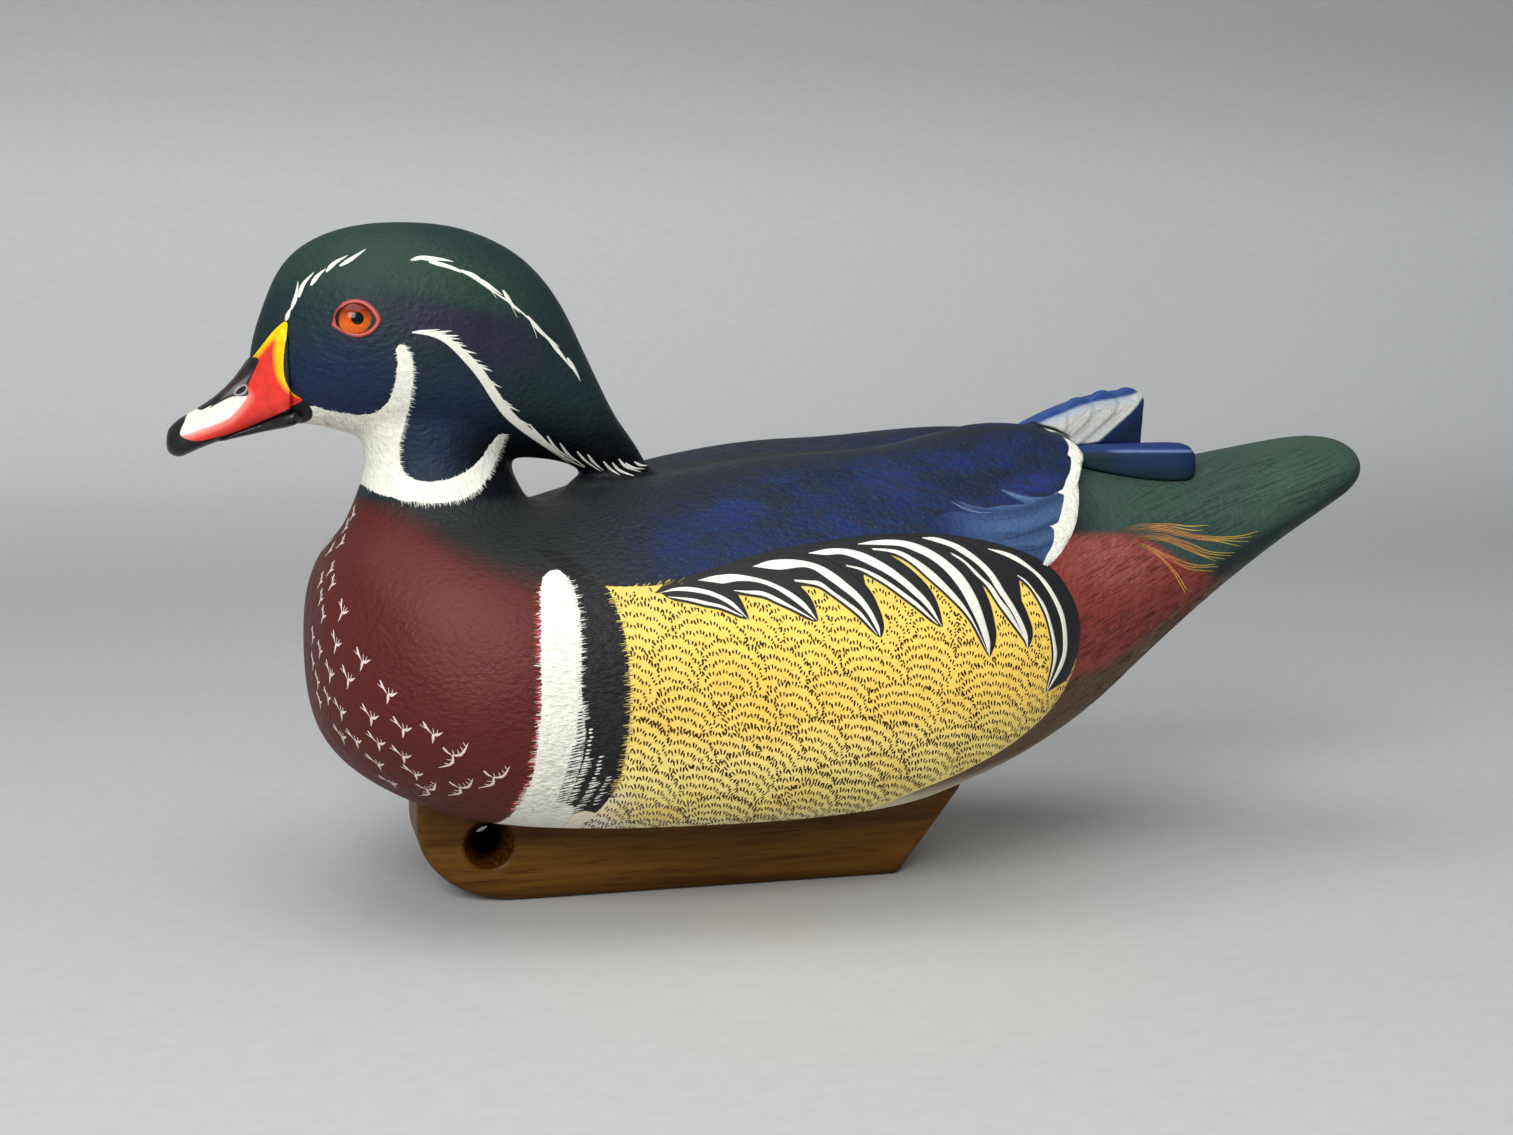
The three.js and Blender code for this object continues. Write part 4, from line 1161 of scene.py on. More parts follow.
def breast_ticks(surface, material):
    """Small forked marks on the breast, each drawn flat and laid on the surface at its own place."""
    marks = Marks(surface)
    for side in (-1, 1):
        for places, shape, tufts, size in (
                (BREAST_SLIM, (FORK_STEM, FORK_ARM, FORK_FOOT), FORK_HAIRS[:2], 0.95),
                (BREAST_FORKED, (FORK_STEM, FORK_ARM, FORK_FOOT), FORK_HAIRS, 1.2),
                (BREAST_CRESCENTS, (CRESCENT_STEM, CRESCENT_ARM, CRESCENT_FOOT), CRESCENT_HAIRS, 1.1)):
            spots = np.array(places)
            middle, normals = surface.seen_from(spots[:, 0], spots[:, 1], side)
            for at, normal in zip(middle, normals):
                if not np.isfinite(at).all():
                    continue
                back = np.cross(normal, (0, 0, 1)) * side
                back /= np.linalg.norm(back)
                up = np.cross(back, normal) * side
                for line in (*shape, *tufts):
                    flat = resampled(line, 7) * size
                    where, way = surface.nearest(at + flat[:, :1] * back + flat[:, 1:] * up)
                    half_width = 0.24 if line in tufts else 0.62 if line is shape[0] else 0.75
                    marks.lay(where[None], way[None], taper(7, half_width), side, TICK_TINT)
    return marks.piece("breast_ticks", material)


# Each flank feather: the upper and the lower edge of its white blade, then those of the thin stripe below it
FLANK_FEATHERS = [
    ([(-57.8, 95.6), (-53.5, 96.8), (-48.9, 97.0), (-44.3, 96.4), (-41.0, 95.2), (-38.3, 93.3),
      (-35.7, 88.9)],
     [(-57.9, 95.5), (-53.6, 95.9), (-49.0, 95.5), (-44.9, 94.6), (-41.7, 93.2), (-38.9, 91.3),
      (-35.8, 88.8)],
     [(-55.8, 94.7), (-50.0, 94.2), (-45.6, 93.2), (-41.9, 92.2), (-36.8, 89.5)],
     [(-56.0, 94.5), (-50.8, 93.5), (-46.5, 92.4), (-42.7, 91.6), (-37.3, 89.4)]),
    ([(-47.5, 98.4), (-43.0, 99.5), (-37.5, 99.9), (-32.1, 99.2), (-27.0, 97.9), (-22.7, 95.8),
      (-19.3, 92.8), (-17.4, 87.9)],
     [(-47.5, 98.3), (-43.4, 97.7), (-41.0, 97.4), (-37.1, 97.9), (-32.5, 97.6), (-28.1, 96.1),
      (-24.6, 93.9), (-21.1, 91.1), (-17.5, 87.8)],
     [(-38.7, 95.9), (-35.2, 95.7), (-31.3, 95.5), (-27.7, 94.0), (-24.8, 92.3), (-20.4, 89.6),
      (-18.3, 88.2)],
     [(-38.4, 95.6), (-34.5, 94.8), (-30.8, 94.1), (-27.9, 92.7), (-24.2, 91.0), (-18.6, 88.0)]),
    ([(-32.5, 101.4), (-28.3, 102.7), (-23.5, 103.1), (-18.1, 102.7), (-12.9, 101.4), (-8.7, 99.2),
      (-4.6, 95.5), (-2.0, 91.2), (-0.1, 86.0), (-0.8, 83.2)],
     [(-32.6, 101.3), (-28.8, 100.7), (-25.0, 100.4), (-19.4, 100.9), (-16.4, 100.1), (-13.6, 98.1),
      (-10.2, 95.5), (-6.6, 92.5), (-3.9, 89.1), (-0.9, 83.2)],
     [(-22.5, 98.1), (-18.4, 97.8), (-15.4, 97.4), (-12.6, 95.2), (-9.0, 92.5), (-5.4, 89.5), (-1.5, 83.8)],
     [(-22.0, 97.5), (-18.6, 96.9), (-15.6, 96.1), (-12.8, 94.1), (-9.2, 91.3), (-5.6, 88.1), (-1.7, 83.7)]),
    ([(-16.9, 104.3), (-11.9, 105.2), (-7.0, 105.2), (-1.7, 104.3), (3.3, 102.2), (7.6, 99.6),
      (11.7, 95.7), (14.8, 91.3), (16.6, 85.1)],
     [(-17.0, 104.1), (-12.3, 103.6), (-8.3, 103.7), (-4.6, 102.6), (-1.1, 100.9), (2.6, 98.9),
      (6.1, 96.4), (9.6, 93.2), (12.5, 90.3), (16.4, 85.0)],
     [(-7.8, 101.3), (-3.6, 100.4), (0.1, 98.8), (3.7, 96.5), (7.3, 93.8), (10.9, 90.8), (15.4, 85.9)],
     [(-7.5, 100.8), (-4.1, 99.8), (-0.9, 98.1), (2.7, 95.8), (6.3, 93.0), (10.0, 90.1), (15.2, 85.6)]),
    ([(-3.0, 106.1), (1.6, 106.8), (7.4, 106.9), (13.0, 106.1), (17.3, 104.5), (21.6, 102.0), (25.8, 98.2),
      (28.4, 93.6), (30.3, 88.2), (31.8, 80.8), (30.3, 76.3)],
     [(-3.0, 105.9), (2.9, 105.6), (8.4, 105.2), (12.1, 103.9), (15.7, 102.1), (19.2, 99.2), (22.5, 94.7),
      (25.1, 89.3), (27.3, 84.3), (30.2, 76.3)],
     [(0.3, 105.0), (4.1, 104.8), (8.0, 104.2), (11.6, 102.3), (15.1, 99.7), (18.5, 96.3), (24.2, 89.0),
      (29.8, 77.4)],
     [(0.8, 104.5), (5.4, 103.8), (8.3, 102.6), (11.1, 100.6), (14.5, 97.2), (18.1, 93.8), (24.5, 86.8),
      (29.6, 77.4)]),
    ([(15.4, 107.1), (19.2, 107.1), (24.2, 105.6), (27.4, 103.9), (31.0, 101.2), (34.5, 97.7),
      (37.3, 93.5), (40.3, 88.3), (43.4, 81.5), (42.4, 77.4)],
     [(15.4, 106.9), (19.0, 105.8), (22.5, 104.6), (25.3, 102.9), (28.9, 100.2), (31.7, 97.0),
      (33.7, 93.3), (36.3, 89.4), (38.7, 85.4), (42.3, 77.4)],
     [(22.0, 103.4), (25.0, 101.8), (27.8, 99.2), (29.9, 96.9), (32.5, 94.5), (34.6, 91.0), (37.1, 87.8),
      (41.5, 79.8)],
     [(22.5, 102.7), (25.5, 100.5), (28.0, 97.5), (30.8, 94.6), (33.1, 90.7), (35.6, 87.1), (41.4, 79.6)]),
    ([(33.5, 103.8), (37.8, 103.0), (41.8, 101.4), (45.7, 98.5), (49.8, 94.9), (53.1, 90.4), (55.9, 85.4),
      (57.1, 79.6), (57.1, 74.6), (55.5, 69.8), (50.0, 64.0)],
     [(33.4, 103.6), (38.2, 101.6), (42.2, 99.5), (46.3, 96.6), (49.4, 92.6), (51.9, 88.2), (53.7, 83.2),
      (54.3, 78.3), (54.0, 73.4), (49.9, 64.0)],
     [(40.5, 97.0), (43.2, 95.3), (45.5, 92.5), (48.4, 88.4), (50.2, 83.6), (51.6, 78.6), (52.4, 73.6),
      (50.0, 65.0)],
     [(40.7, 96.6), (43.8, 93.8), (46.2, 90.2), (48.3, 86.1), (49.6, 82.0), (50.6, 77.9), (51.1, 72.9),
      (49.8, 65.0)]),
]


FEATHER_STATIONS = 41


def black_outline(upper, lower, stripe):
    """The lines above and below one feather's black: past its blade and past its thin stripe."""
    start = [p for p in lower if p[0] < stripe[0][0] - 2.5]
    below = resampled(start + stripe + upper[-1:], FEATHER_STATIONS)
    above = resampled(upper, FEATHER_STATIONS)
    share = np.linspace(0, 1, FEATHER_STATIONS)
    more = np.interp(share, [0, 0.1, 0.4, 0.75, 1], [0.3, 1.2, 1.8, 1.5, 0.3])
    less = np.interp(share, [0, 0.1, 0.9, 1], [0.2, 0.6, 0.6, 0.2])
    return shifted(above, more), shifted(below, -less)


# Where the black above each blade ends towards the rear
BLACK_TO = (-38.9, -20.7, -3.4, 5.1, 29.6, 41.0)


def black_shapes():
    """Pairs of lines, upper and lower, round all the black of the flank feathers."""
    shapes = [black_outline(upper, lower, third) for upper, lower, second, third in FLANK_FEATHERS]
    for blade, over, last in zip(FLANK_FEATHERS[:-1], FLANK_FEATHERS[1:], BLACK_TO):
        x = np.linspace(blade[0][0][0] - 1.5, last, FEATHER_STATIONS)
        low = np.interp(x, *np.transpose(blade[0][:-1])) - 0.1
        start = np.clip(np.linspace(0, 7, FEATHER_STATIONS), 0.02, 1)
        top = np.interp(x, *np.transpose(FLANK_TOP[:20]))
        for edge in (over[1], over[3]):
            knots, heights = np.transpose(edge[:6])
            top = np.where(x > knots[0], np.interp(x, knots, heights), top)
        top = low + np.maximum(top - low, 0.1) * start
        shapes.append((np.stack([x, top], axis=1), np.stack([x, low], axis=1)))
    rear = resampled(FLANK_TOP[16:22] + FLANK_END, FEATHER_STATIONS)
    shapes.append((rear, resampled(FLANK_FEATHERS[-1][0], FEATHER_STATIONS)))
    return shapes


def flank_feathers(surface, material):
    """White flank feathers, each a blade and a thin stripe, over black ones."""
    black, white = Marks(surface), Marks(surface)
    for side in (-1, 1):
        edge = np.interp(np.linspace(0, 1, 61), [0, 0.15, 0.5, 0.9, 1], [0.2, 0.9, 1.2, 1.2, 0.3])
        black.lines([resampled(FLANK_TOP[5:22] + FLANK_END, 61)], edge, side, BLACK, 5, 0.06)
        for n, (above, below) in enumerate(black_shapes()):
            black.sheet(above, below, side, BLACK, 0.06 + 0.008 * (n % 3), 9)
        for upper, lower, second, third in FLANK_FEATHERS:
            above, below = resampled(upper, 41), resampled(lower, 41)
            room = 0.42 * np.linalg.norm(above - below, axis=1)
            inset = np.minimum(1.6, room)
            inset *= np.interp(np.linspace(0, 1, 41), [0, 0.25, 0.6, 1], [0, 0.15, 1, 1])
            white.sheet(shifted(above, -inset), below, side, WHITE, 0.15)
            white.sheet(resampled(second, 41), resampled(third, 41), side, WHITE, 0.15, 3)
    black.piece("flank_feathers_black", material)
    white.piece("flank_feathers_white", material)


ROW_PITCH = 2.35
SCALLOP = 3.4


def arch(s):
    """A row's height across its lobe, for s from -1 to 1: a gentle rise, then a fall to a steep end."""
    front = 1 - 0.55 * ((s + 0.2) / 0.8) ** 2
    return np.where(s < -0.2, front, np.sqrt(np.clip(1 - ((s + 0.2) / 1.2) ** 2, 0, 1)))


def wave_lobes(rng):
    """Each lobe's middle, height of its foot, half width and rise; the ones on top come first."""
    lobes = []
    for row in range(10):
        for column in range(13):
            x = -98 + 13.5 * column + 6.7 * (row % 2) + rng.uniform(-3.5, 3.5)
            z = 12 + 10.5 * row + rng.uniform(-3.5, 3.5)
            lobes.append((x, z, rng.uniform(6.5, 12.0), rng.uniform(5.5, 9.5)))
    return lobes


def covered(lobe, places):
    middle, foot, half, rise = lobe
    x, z = places[:, 0], places[:, 1]
    s = (x - middle) / half
    return (np.abs(s) < 1) & (z < foot + rise * arch(np.clip(s, -1, 1))) & (z > foot - 24)


def row_places(rng, lobe, row):
    """Where the dashes of one row of a lobe stand, each with the way that is down from the row there."""
    middle, foot, half, rise = lobe
    s = np.linspace(-1, 1, 240)
    x = middle - 0.45 * row + half * (1 - 0.055 * row) * s
    z = foot - ROW_PITCH * (row + 0.3) + rise * (1 - 0.045 * row) * arch(s)
    line = np.stack([x, z], axis=1)
    length = np.concatenate([[0], np.cumsum(np.linalg.norm(np.diff(line, axis=0), axis=1))])
    line = shifted(line, 0.8 * np.abs(np.sin(math.pi * (length / SCALLOP + rng.random()))))
    ahead = np.gradient(line, axis=0)
    down = np.stack([ahead[:, 1], -ahead[:, 0]], axis=1) / np.linalg.norm(ahead, axis=1)[:, None]
    stops = np.arange(rng.uniform(0, 0.8), length[-1], 0.82)
    stops = stops + rng.uniform(-0.08, 0.08, len(stops))
    return np.stack([np.interp(stops, length, column) for column in (*line.T, *down.T)], axis=1)


def wave_places(rng):
    """The dashes' places on the open gold, without those that a lobe on top covers, and their ways down."""
    lobes = wave_lobes(rng)
    found = []
    for number, lobe in enumerate(lobes):
        for row in range(10):
            places = row_places(rng, lobe, row)
            x, z = places[:, 0], places[:, 1]
            places = places[(x > -84) & (x < 62) & (z > 20) & (z < 108)]
            keep = np.ones(len(places), bool)
            for above in lobes[:number]:
                if abs(above[0] - lobe[0]) < 26 and abs(above[1] - lobe[1]) < 60:
                    keep &= ~covered(above, places)
            found.append(places[keep])
    found = np.concatenate(found)
    found = found[on_gold(found[:, :2])]
    return found[:, :2], found[:, 2:]


def flank_waves(surface, material):
    """Overlapping lobes of scalloped rows, each row a chain of short slanting dashes of dark brown."""
    marks = Marks(surface)
    rng = np.random.default_rng(33)
    middles, down = wave_places(rng)
    count = len(middles)
    lean = 0.6 * down + np.array([0.15, -0.4]) + rng.uniform(-0.12, 0.12, (count, 2))
    half = rng.uniform(0.38, 0.6, count) * np.interp(middles[:, 1], [40, 70, 95], [1.5, 1.15, 1.0])
    strokes = middles[:, None] + lean[:, None] * half[:, None, None] * np.array([-1.0, 0.0, 1.0])[:, None]
    dark = ramp(rng.random(count), 0.0, 0.3)[:, None]
    tints = np.array((0.030, 0.013, 0.001)) * dark + np.array((0.10, 0.05, 0.006)) * (1 - dark)
    pale = ramp(middles[:, 1], 50, 40) * ramp(middles[:, 0], -44, -58)
    tints = tints + (np.array((0.24, 0.20, 0.16)) - tints) * 0.5 * pale[:, None]
    widths = rng.uniform(0.42, 0.56, count)[:, None] * np.array([0.85, 1.0, 0.6])
    for side in (-1, 1):
        marks.lines(strokes, widths, side, tints[:, None], height=0.08)
    return marks.piece("flank_waves", material)


def on_gold(places):
    """Which side-view places lie on the open golden paint."""
    x, z = places.T
    good = (inside(x, z, FLANK_TOP + FLANK_LOW) > 0.9) & (past(BAR_REAR, x, z) > 0.7)
    for above, below in black_shapes():
        outline = np.concatenate([above[::4], below[::-4]])
        good &= inside(x, z, outline) < -0.5
    return good


PLUME_ROOT = np.array((0.16, 0.105, 0.05))
PLUME_ORANGE = np.array((0.62, 0.27, 0.09))
PLUME_TIP = np.array((0.80, 0.60, 0.10))
PLUMES = [
    [(77.5, 104.3), (87.1, 105.6), (98.1, 105.4), (104.8, 104.6), (111.8, 104.6)],
    [(80.0, 104.5), (90.0, 105.2), (98.1, 104.8), (104.8, 103.6), (109.4, 103.3)],
    [(82.0, 104.6), (91.0, 105.0), (99.0, 103.8), (107.0, 101.9), (116.0, 100.9), (123.0, 100.9),
     (128.8, 101.9)],
    [(83.0, 104.4), (92.0, 104.5), (100.0, 103.2), (108.0, 101.3), (117.0, 100.3), (126.6, 100.4)],
    [(84.0, 104.1), (93.0, 104.0), (101.0, 102.6), (109.0, 100.8), (118.0, 99.7), (126.0, 99.0)],
    [(90.0, 103.9), (99.0, 102.6), (107.0, 100.9), (115.0, 99.6), (123.3, 97.7)],
    [(80.5, 102.9), (93.4, 102.7), (103.8, 99.9), (110.0, 97.4), (115.0, 96.4), (121.1, 96.0)],
    [(82.0, 102.7), (94.0, 102.1), (103.0, 99.3), (110.0, 96.7), (116.0, 95.6), (120.2, 95.1)],
    [(84.0, 102.6), (94.5, 101.6), (102.8, 98.9), (109.5, 96.0), (117.8, 94.3)],
    [(86.0, 102.4), (95.0, 101.2), (102.6, 98.3), (108.8, 95.9), (114.4, 93.9)],
    [(80.3, 102.2), (89.0, 99.8), (96.2, 96.8), (103.9, 94.0), (109.0, 93.1), (113.9, 93.1)],
    [(82.0, 101.8), (90.0, 99.2), (97.0, 95.9), (104.0, 93.1), (115.3, 92.2)],
    [(84.0, 101.2), (91.0, 98.5), (97.6, 95.2), (104.5, 92.3), (113.5, 91.0)],
    [(84.5, 101.0), (91.0, 98.1), (96.4, 94.0), (100.6, 89.9), (103.4, 86.6), (106.2, 85.6)],
    [(85.5, 100.5), (92.0, 97.2), (97.0, 92.8), (100.6, 88.6), (103.6, 85.2)],
]


def plumes(surface, material):
    """Hair-fine plumes over the rump, orange where they spring and yellow at their tips."""
    marks = Marks(surface)
    stations = 25
    t = np.linspace(0, 1, stations)[:, None]
    tint = PLUME_ROOT + (PLUME_ORANGE - PLUME_ROOT) * ramp(t, 0.0, 0.3)
    tint = tint + (PLUME_TIP - PLUME_ORANGE) * ramp(t, 0.55, 0.9)
    for side in (-1, 1):
        for line in PLUMES:
            for shift in (0.0, 0.7):
                strand = resampled(line, stations) + np.array([0.0, shift]) * (1 - t) * (t > -1)
                width = taper(stations, 0.11, 0.04, 0.55)
                marks.lines([strand], width, side, tint, height=0.17)
    return marks.piece("rump_plumes", material)


# The tail's long feathers and the rump's barbs: where, which way, how many, how long and what colour
FLOW_PATCHES = [
    ((96, 112), (170, 130), (0.95, 0.30), 230, (6.0, 15.0), (0.055, 0.105, 0.068)),
    ((84, 100), (165, 124), (0.96, 0.26), 260, (5.0, 13.0), (0.012, 0.030, 0.026)),
    ((60, 70), (118, 104), (0.93, 0.30), 330, (2.5, 6.0), (0.120, 0.015, 0.012)),
    ((60, 76), (112, 103), (0.93, 0.30), 200, (2.5, 6.0), (0.260, 0.046, 0.034)),
    ((52, 52), (120, 82), (0.90, 0.42), 200, (2.5, 6.0), (0.045, 0.025, 0.012)),
    ((52, 52), (120, 82), (0.90, 0.42), 100, (2.5, 6.0), (0.140, 0.095, 0.050)),
]
# Slate feathers' thin dark edges and the pale points that run into the blue
SLATE_LINES = [
    ([(27.6, 115.3), (31.0, 113.2), (35.0, 112.3)], 0.35, (0.16, 0.24, 0.36)),
    ([(29.0, 114.6), (33.4, 112.8), (38.0, 112.4)], 0.25, (0.16, 0.24, 0.36)),
    ([(44.2, 117.6), (48.0, 115.8), (53.0, 114.6)], 0.35, (0.16, 0.24, 0.36)),
    ([(46.0, 117.0), (50.0, 115.6), (55.0, 115.0)], 0.25, (0.16, 0.24, 0.36)),
    ([(34.5, 106.2), (40.0, 105.9), (46.0, 106.8), (57.2, 109.2)], 0.22, (0.010, 0.020, 0.045)),
    ([(42.2, 103.0), (46.0, 102.6), (49.4, 103.0), (55.6, 104.4)], 0.22, (0.010, 0.020, 0.045)),
    ([(30.7, 111.2), (38.0, 110.6), (45.7, 111.2), (60.0, 114.6)], 0.20, (0.012, 0.024, 0.055)),
]


def rear_strokes(surface, material):
    """Fine faint strokes that follow the feathers of the tail, the rump and the wing's slate patch."""
    marks = Marks(surface)
    rng = np.random.default_rng(8)
    for side in (-1, 1):
        for low, high, slope, count, length, tint in FLOW_PATCHES:
            spots = rng.uniform(low, high, (count * 2, 2))
            x, z = spots.T
            limit = np.interp(x, [58, 84, 90, 97, 104, 116, 140], [104, 102.5, 100, 96, 92, 90, 200])
            on_rump = high[1] < 110
            clear = z < limit if on_rump else z > np.minimum(limit, 106) + 3
            hairs(marks, rng, spots[clear][:count], slope, 0.06, length, 0.16, side, tint)
        for line, half_width, tint in SLATE_LINES:
            marks.lines([resampled(line, 15)], taper(15, half_width), side, tint, 3, 0.06)
    return marks.piece("rear_strokes", material)


# Eyes and lids

def ring_grid(rows, columns):
    """Quads of a sheet that closes round in its columns."""
    index = np.arange(rows * columns).reshape(rows, columns)
    right = np.roll(index, -1, axis=1)
    return np.stack([index[:-1], index[1:], right[1:], right[:-1]], axis=-1).reshape(-1, 4)


def eye_material():
    """Clear glass over paint: pupil, iris and dark rim by their distance from the eye's axis."""
    material, tree, shader = new_material(
        "eye_glass", Roughness=0.2, Specular_IOR_Level=0.1, Coat_Weight=0.3, Coat_Roughness=0.03,
        Coat_IOR=1.5)
    out = attribute(tree, "out_from_axis")
    streaks = noise(tree, 2600.0, 3.0)
    # The iris is painted darker at the top and brighter at the bottom: painted shade under the upper lid and
    # painted light through the glass
    iris = blend(tree, stretch(tree, attribute(tree, "below_axis"), -3.0, 2.2), colour(0.16, 0.014, 0.004),
                 colour(0.72, 0.13, 0.010))
    iris = blend(tree, 1.0, iris, stretch(tree, streaks, 0.2, 0.8, 0.7, 1.25), "MULTIPLY")
    # The dark rim round the iris is partly its own colour and partly painted shade of the gap under the lid
    look = blend(tree, stretch(tree, out, 4.5, 5.2), iris, colour(0.016, 0.003, 0.002))
    pupil = stretch(tree, attribute(tree, "out_from_pupil"), 1.8, 1.6)
    look = blend(tree, pupil, look, colour(0.002, 0.002, 0.002))
    tree.links.new(look, shader.inputs["Base Color"])
    return material


def lid_material():
    material, tree, shader = new_material("lid_paint", Roughness=0.4, Specular_IOR_Level=0.5)
    fine = noise(tree, 1500.0, 3.0)
    # Painted shade on the ring's inner slope, where it turns down into the gap round the glass
    look = blend(tree, attribute(tree, "inner"), colour(*LID_RED), colour(0.06, 0.008, 0.006))
    look = blend(tree, 1.0, look, stretch(tree, fine, 0.25, 0.75, 0.85, 1.1), "MULTIPLY")
    tree.links.new(look, shader.inputs["Base Color"])
    paint_bump(tree, shader, fine, 0.2)
    return material


LID_SIZE = 0.9
LID_OUTER = [
    (-7.6, -1.9), (-7.0, -0.3), (-6.5, 1.6), (-5.4, 3.4), (-3.6, 5.1), (-0.7, 5.8), (2.0, 5.4), (4.3, 4.0),
    (6.0, 2.0), (6.9, -0.3), (6.1, -2.2), (4.2, -4.2), (1.4, -5.4), (-1.6, -5.4), (-4.4, -4.3),
    (-6.5, -3.0),
]
LID_INNER = [
    (-6.1, -1.7), (-5.7, -0.2), (-5.0, 1.8), (-4.0, 3.2), (-2.6, 4.3), (-0.3, 4.7), (1.5, 4.3), (3.2, 3.1),
    (4.5, 1.5), (5.3, -0.4), (4.7, -1.9), (3.1, -3.3), (1.0, -4.2), (-1.3, -4.2), (-3.4, -3.4),
    (-5.1, -2.4),
]


def eye(side, cheek, material):
    """A flattened glass ball, its axis pointing out of the head and a little up."""
    rows, columns = 49, 72
    tilt = np.linspace(0.004, math.pi - 0.004, rows)[:, None]
    turn = np.linspace(0, 2 * math.pi, columns, endpoint=False)[None]
    x = EYE[0] + 6.1 * np.sin(tilt) * np.cos(turn)
    z = EYE[2] - 0.4 + 5.3 * np.sin(tilt) * np.sin(turn)
    y = cheek(EYE[0], EYE[2]) - 2.9 + 4.7 * np.cos(tilt) + 0 * turn
    points = np.stack([x, side * y, z], axis=-1).reshape(-1, 3)
    faces = ring_grid(rows, columns)
    if side > 0:
        faces = faces[:, ::-1]
    name = "eye_left" if side < 0 else "eye_right"
    caps = np.array([np.arange(columns), (rows - 1) * columns + np.arange(columns)[::-1]])
    piece = mesh_object("glass_" + name, points, [faces, caps if side < 0 else caps[:, ::-1]], [material])
    set_numbers(piece, "out_from_axis", np.hypot(x - EYE[0], z - EYE[2] + 0.4).ravel())
    set_numbers(piece, "out_from_pupil", np.hypot(x - EYE[0] + 0.1, z - EYE[2] - 0.2).ravel())
    set_numbers(piece, "below_axis", EYE[2] - points[:, 2])
    part_of(piece, "eye_glass", name)


def lid(side, cheek, material):
    """A carved almond ring round the eye, its front corner low and pointed."""
    outer = LID_SIZE * smooth_line(LID_OUTER, 7, closed=True)
    inner = 0.95 * LID_SIZE * smooth_line(LID_INNER, 7, closed=True)
    around = len(outer)
    section = [(0.0, -0.7), (0.0, 0.12), (0.12, 0.55), (0.35, 0.86), (0.6, 0.9), (0.82, 0.66), (0.96, 0.22),
               (1.0, -0.3), (1.0, -1.6)]
    share = np.array([s for s, _ in section])[None, :, None]
    rise = np.array([r for _, r in section])[None]
    flat = outer[:, None] * (1 - share) + inner[:, None] * share
    x, z = EYE[0] + flat[..., 0], EYE[2] + flat[..., 1]
    y = side * (cheek(x, z) + rise)
    points = np.stack([x, y, z], axis=-1).reshape(-1, 3)
    about = len(section)
    index = np.arange(around * about).reshape(around, about)
    ahead = np.roll(index, -1, axis=0)
    faces = np.stack([index[:, :-1], ahead[:, :-1], ahead[:, 1:], index[:, 1:]], axis=-1).reshape(-1, 4)
    normal = np.cross(points[faces[:, 1]] - points[faces[:, 0]], points[faces[:, 3]] - points[faces[:, 0]])
    if (normal[:, 1] * side).sum() < 0:
        faces = faces[:, ::-1]
    piece = mesh_object("lid_left" if side < 0 else "lid_right", points, faces, [material])
    # Painted shade on the inner slope of the ring
    dark = np.broadcast_to(ramp(share[..., 0], 0.78, 1.0), (around, about))
    set_numbers(piece, "inner", np.maximum(dark, 0).ravel())
    part_of(piece, "painted_wood")


def eyes(cheeks):
    glass, lids = eye_material(), lid_material()
    for side in (-1, 1):
        eye(side, cheeks[side], glass)
        lid(side, cheeks[side], lids)


# Wing tips

def wing_tip_material():
    material, tree, shader = new_material(
        "wing_tip_paint", Roughness=0.5, Specular_IOR_Level=0.12)
    fine = noise(tree, 1300.0, 3.0)
    barbs = noise(tree, 1500.0, 3.0, along=(0.12, 1.0, 1.0), turn=(0.0, 0.5, 0.0))
    look = stored_colour(tree, "paint")
    look = blend(tree, 1.0, look, stretch(tree, barbs, 0.3, 0.7, 0.9, 1.05), "MULTIPLY")
    tree.links.new(look, shader.inputs["Base Color"])
    paint_bump(tree, shader, reckon(tree, "ADD", fine, barbs), 0.3)
    return material


# The lines above and below the pale webs
FAN_TOP = [
    (60, 131.0), (69, 134.7), (75.7, 136.8), (80.5, 138.4), (86.4, 139.6), (93.2, 140.3), (98.9, 141.2),
    (103, 142.5),
]
FAN_LOW = [
    (70, 121.5), (74, 124.0), (87.8, 127.6), (93.4, 131.8), (98.3, 135.5), (101.5, 138.5), (103.5, 141.0),
]


def fan_paint(x, y, z):
    """Pale feather webs with blue above them; the face behind and below them is dark blue."""
    coat = Airbrush(len(x), FAN_DARK)
    near = ramp(y, -2.0, -4.5)
    top = np.interp(x, *np.transpose(FAN_TOP))
    low = np.interp(x, *np.transpose(FAN_LOW))
    white = ramp(z - low, -0.4, 0.4) * near
    coat.coat(FAN_CREAM, white)
    coat.coat(FAN_BLUE, 0.35 * ramp(low - z, 5.0, 0.5) * near)
    coat.coat(FAN_BLUE_PALE, 0.55 * near * ramp(z - top, -3.2, -0.4) * ramp(x, 101, 97))
    coat.coat(FAN_BLUE, ramp(z - top, -0.7, 0.4) * ramp(x, 102.5, 100.5))
    return coat.values


def bundle_paint(x, y, z):
    coat = Airbrush(len(x), BUNDLE_DARK)
    # The front end keeps the dark ground as painted shade under the fan; the side is darker towards the
    # bottom
    coat.coat(BUNDLE_SIDE, 0.9 * ramp(z, 117.0, 122.5) * ramp(x, 84, 94))
    coat.coat(BUNDLE_TOP, ramp(z, 124.2, 125.6))
    # A painted highlight along the top edge
    coat.coat(FAN_BLUE_PALE, 0.35 * ramp(np.abs(z - 125.1), 0.6, 0.1) * ramp(x, 86, 92))
    return coat.values


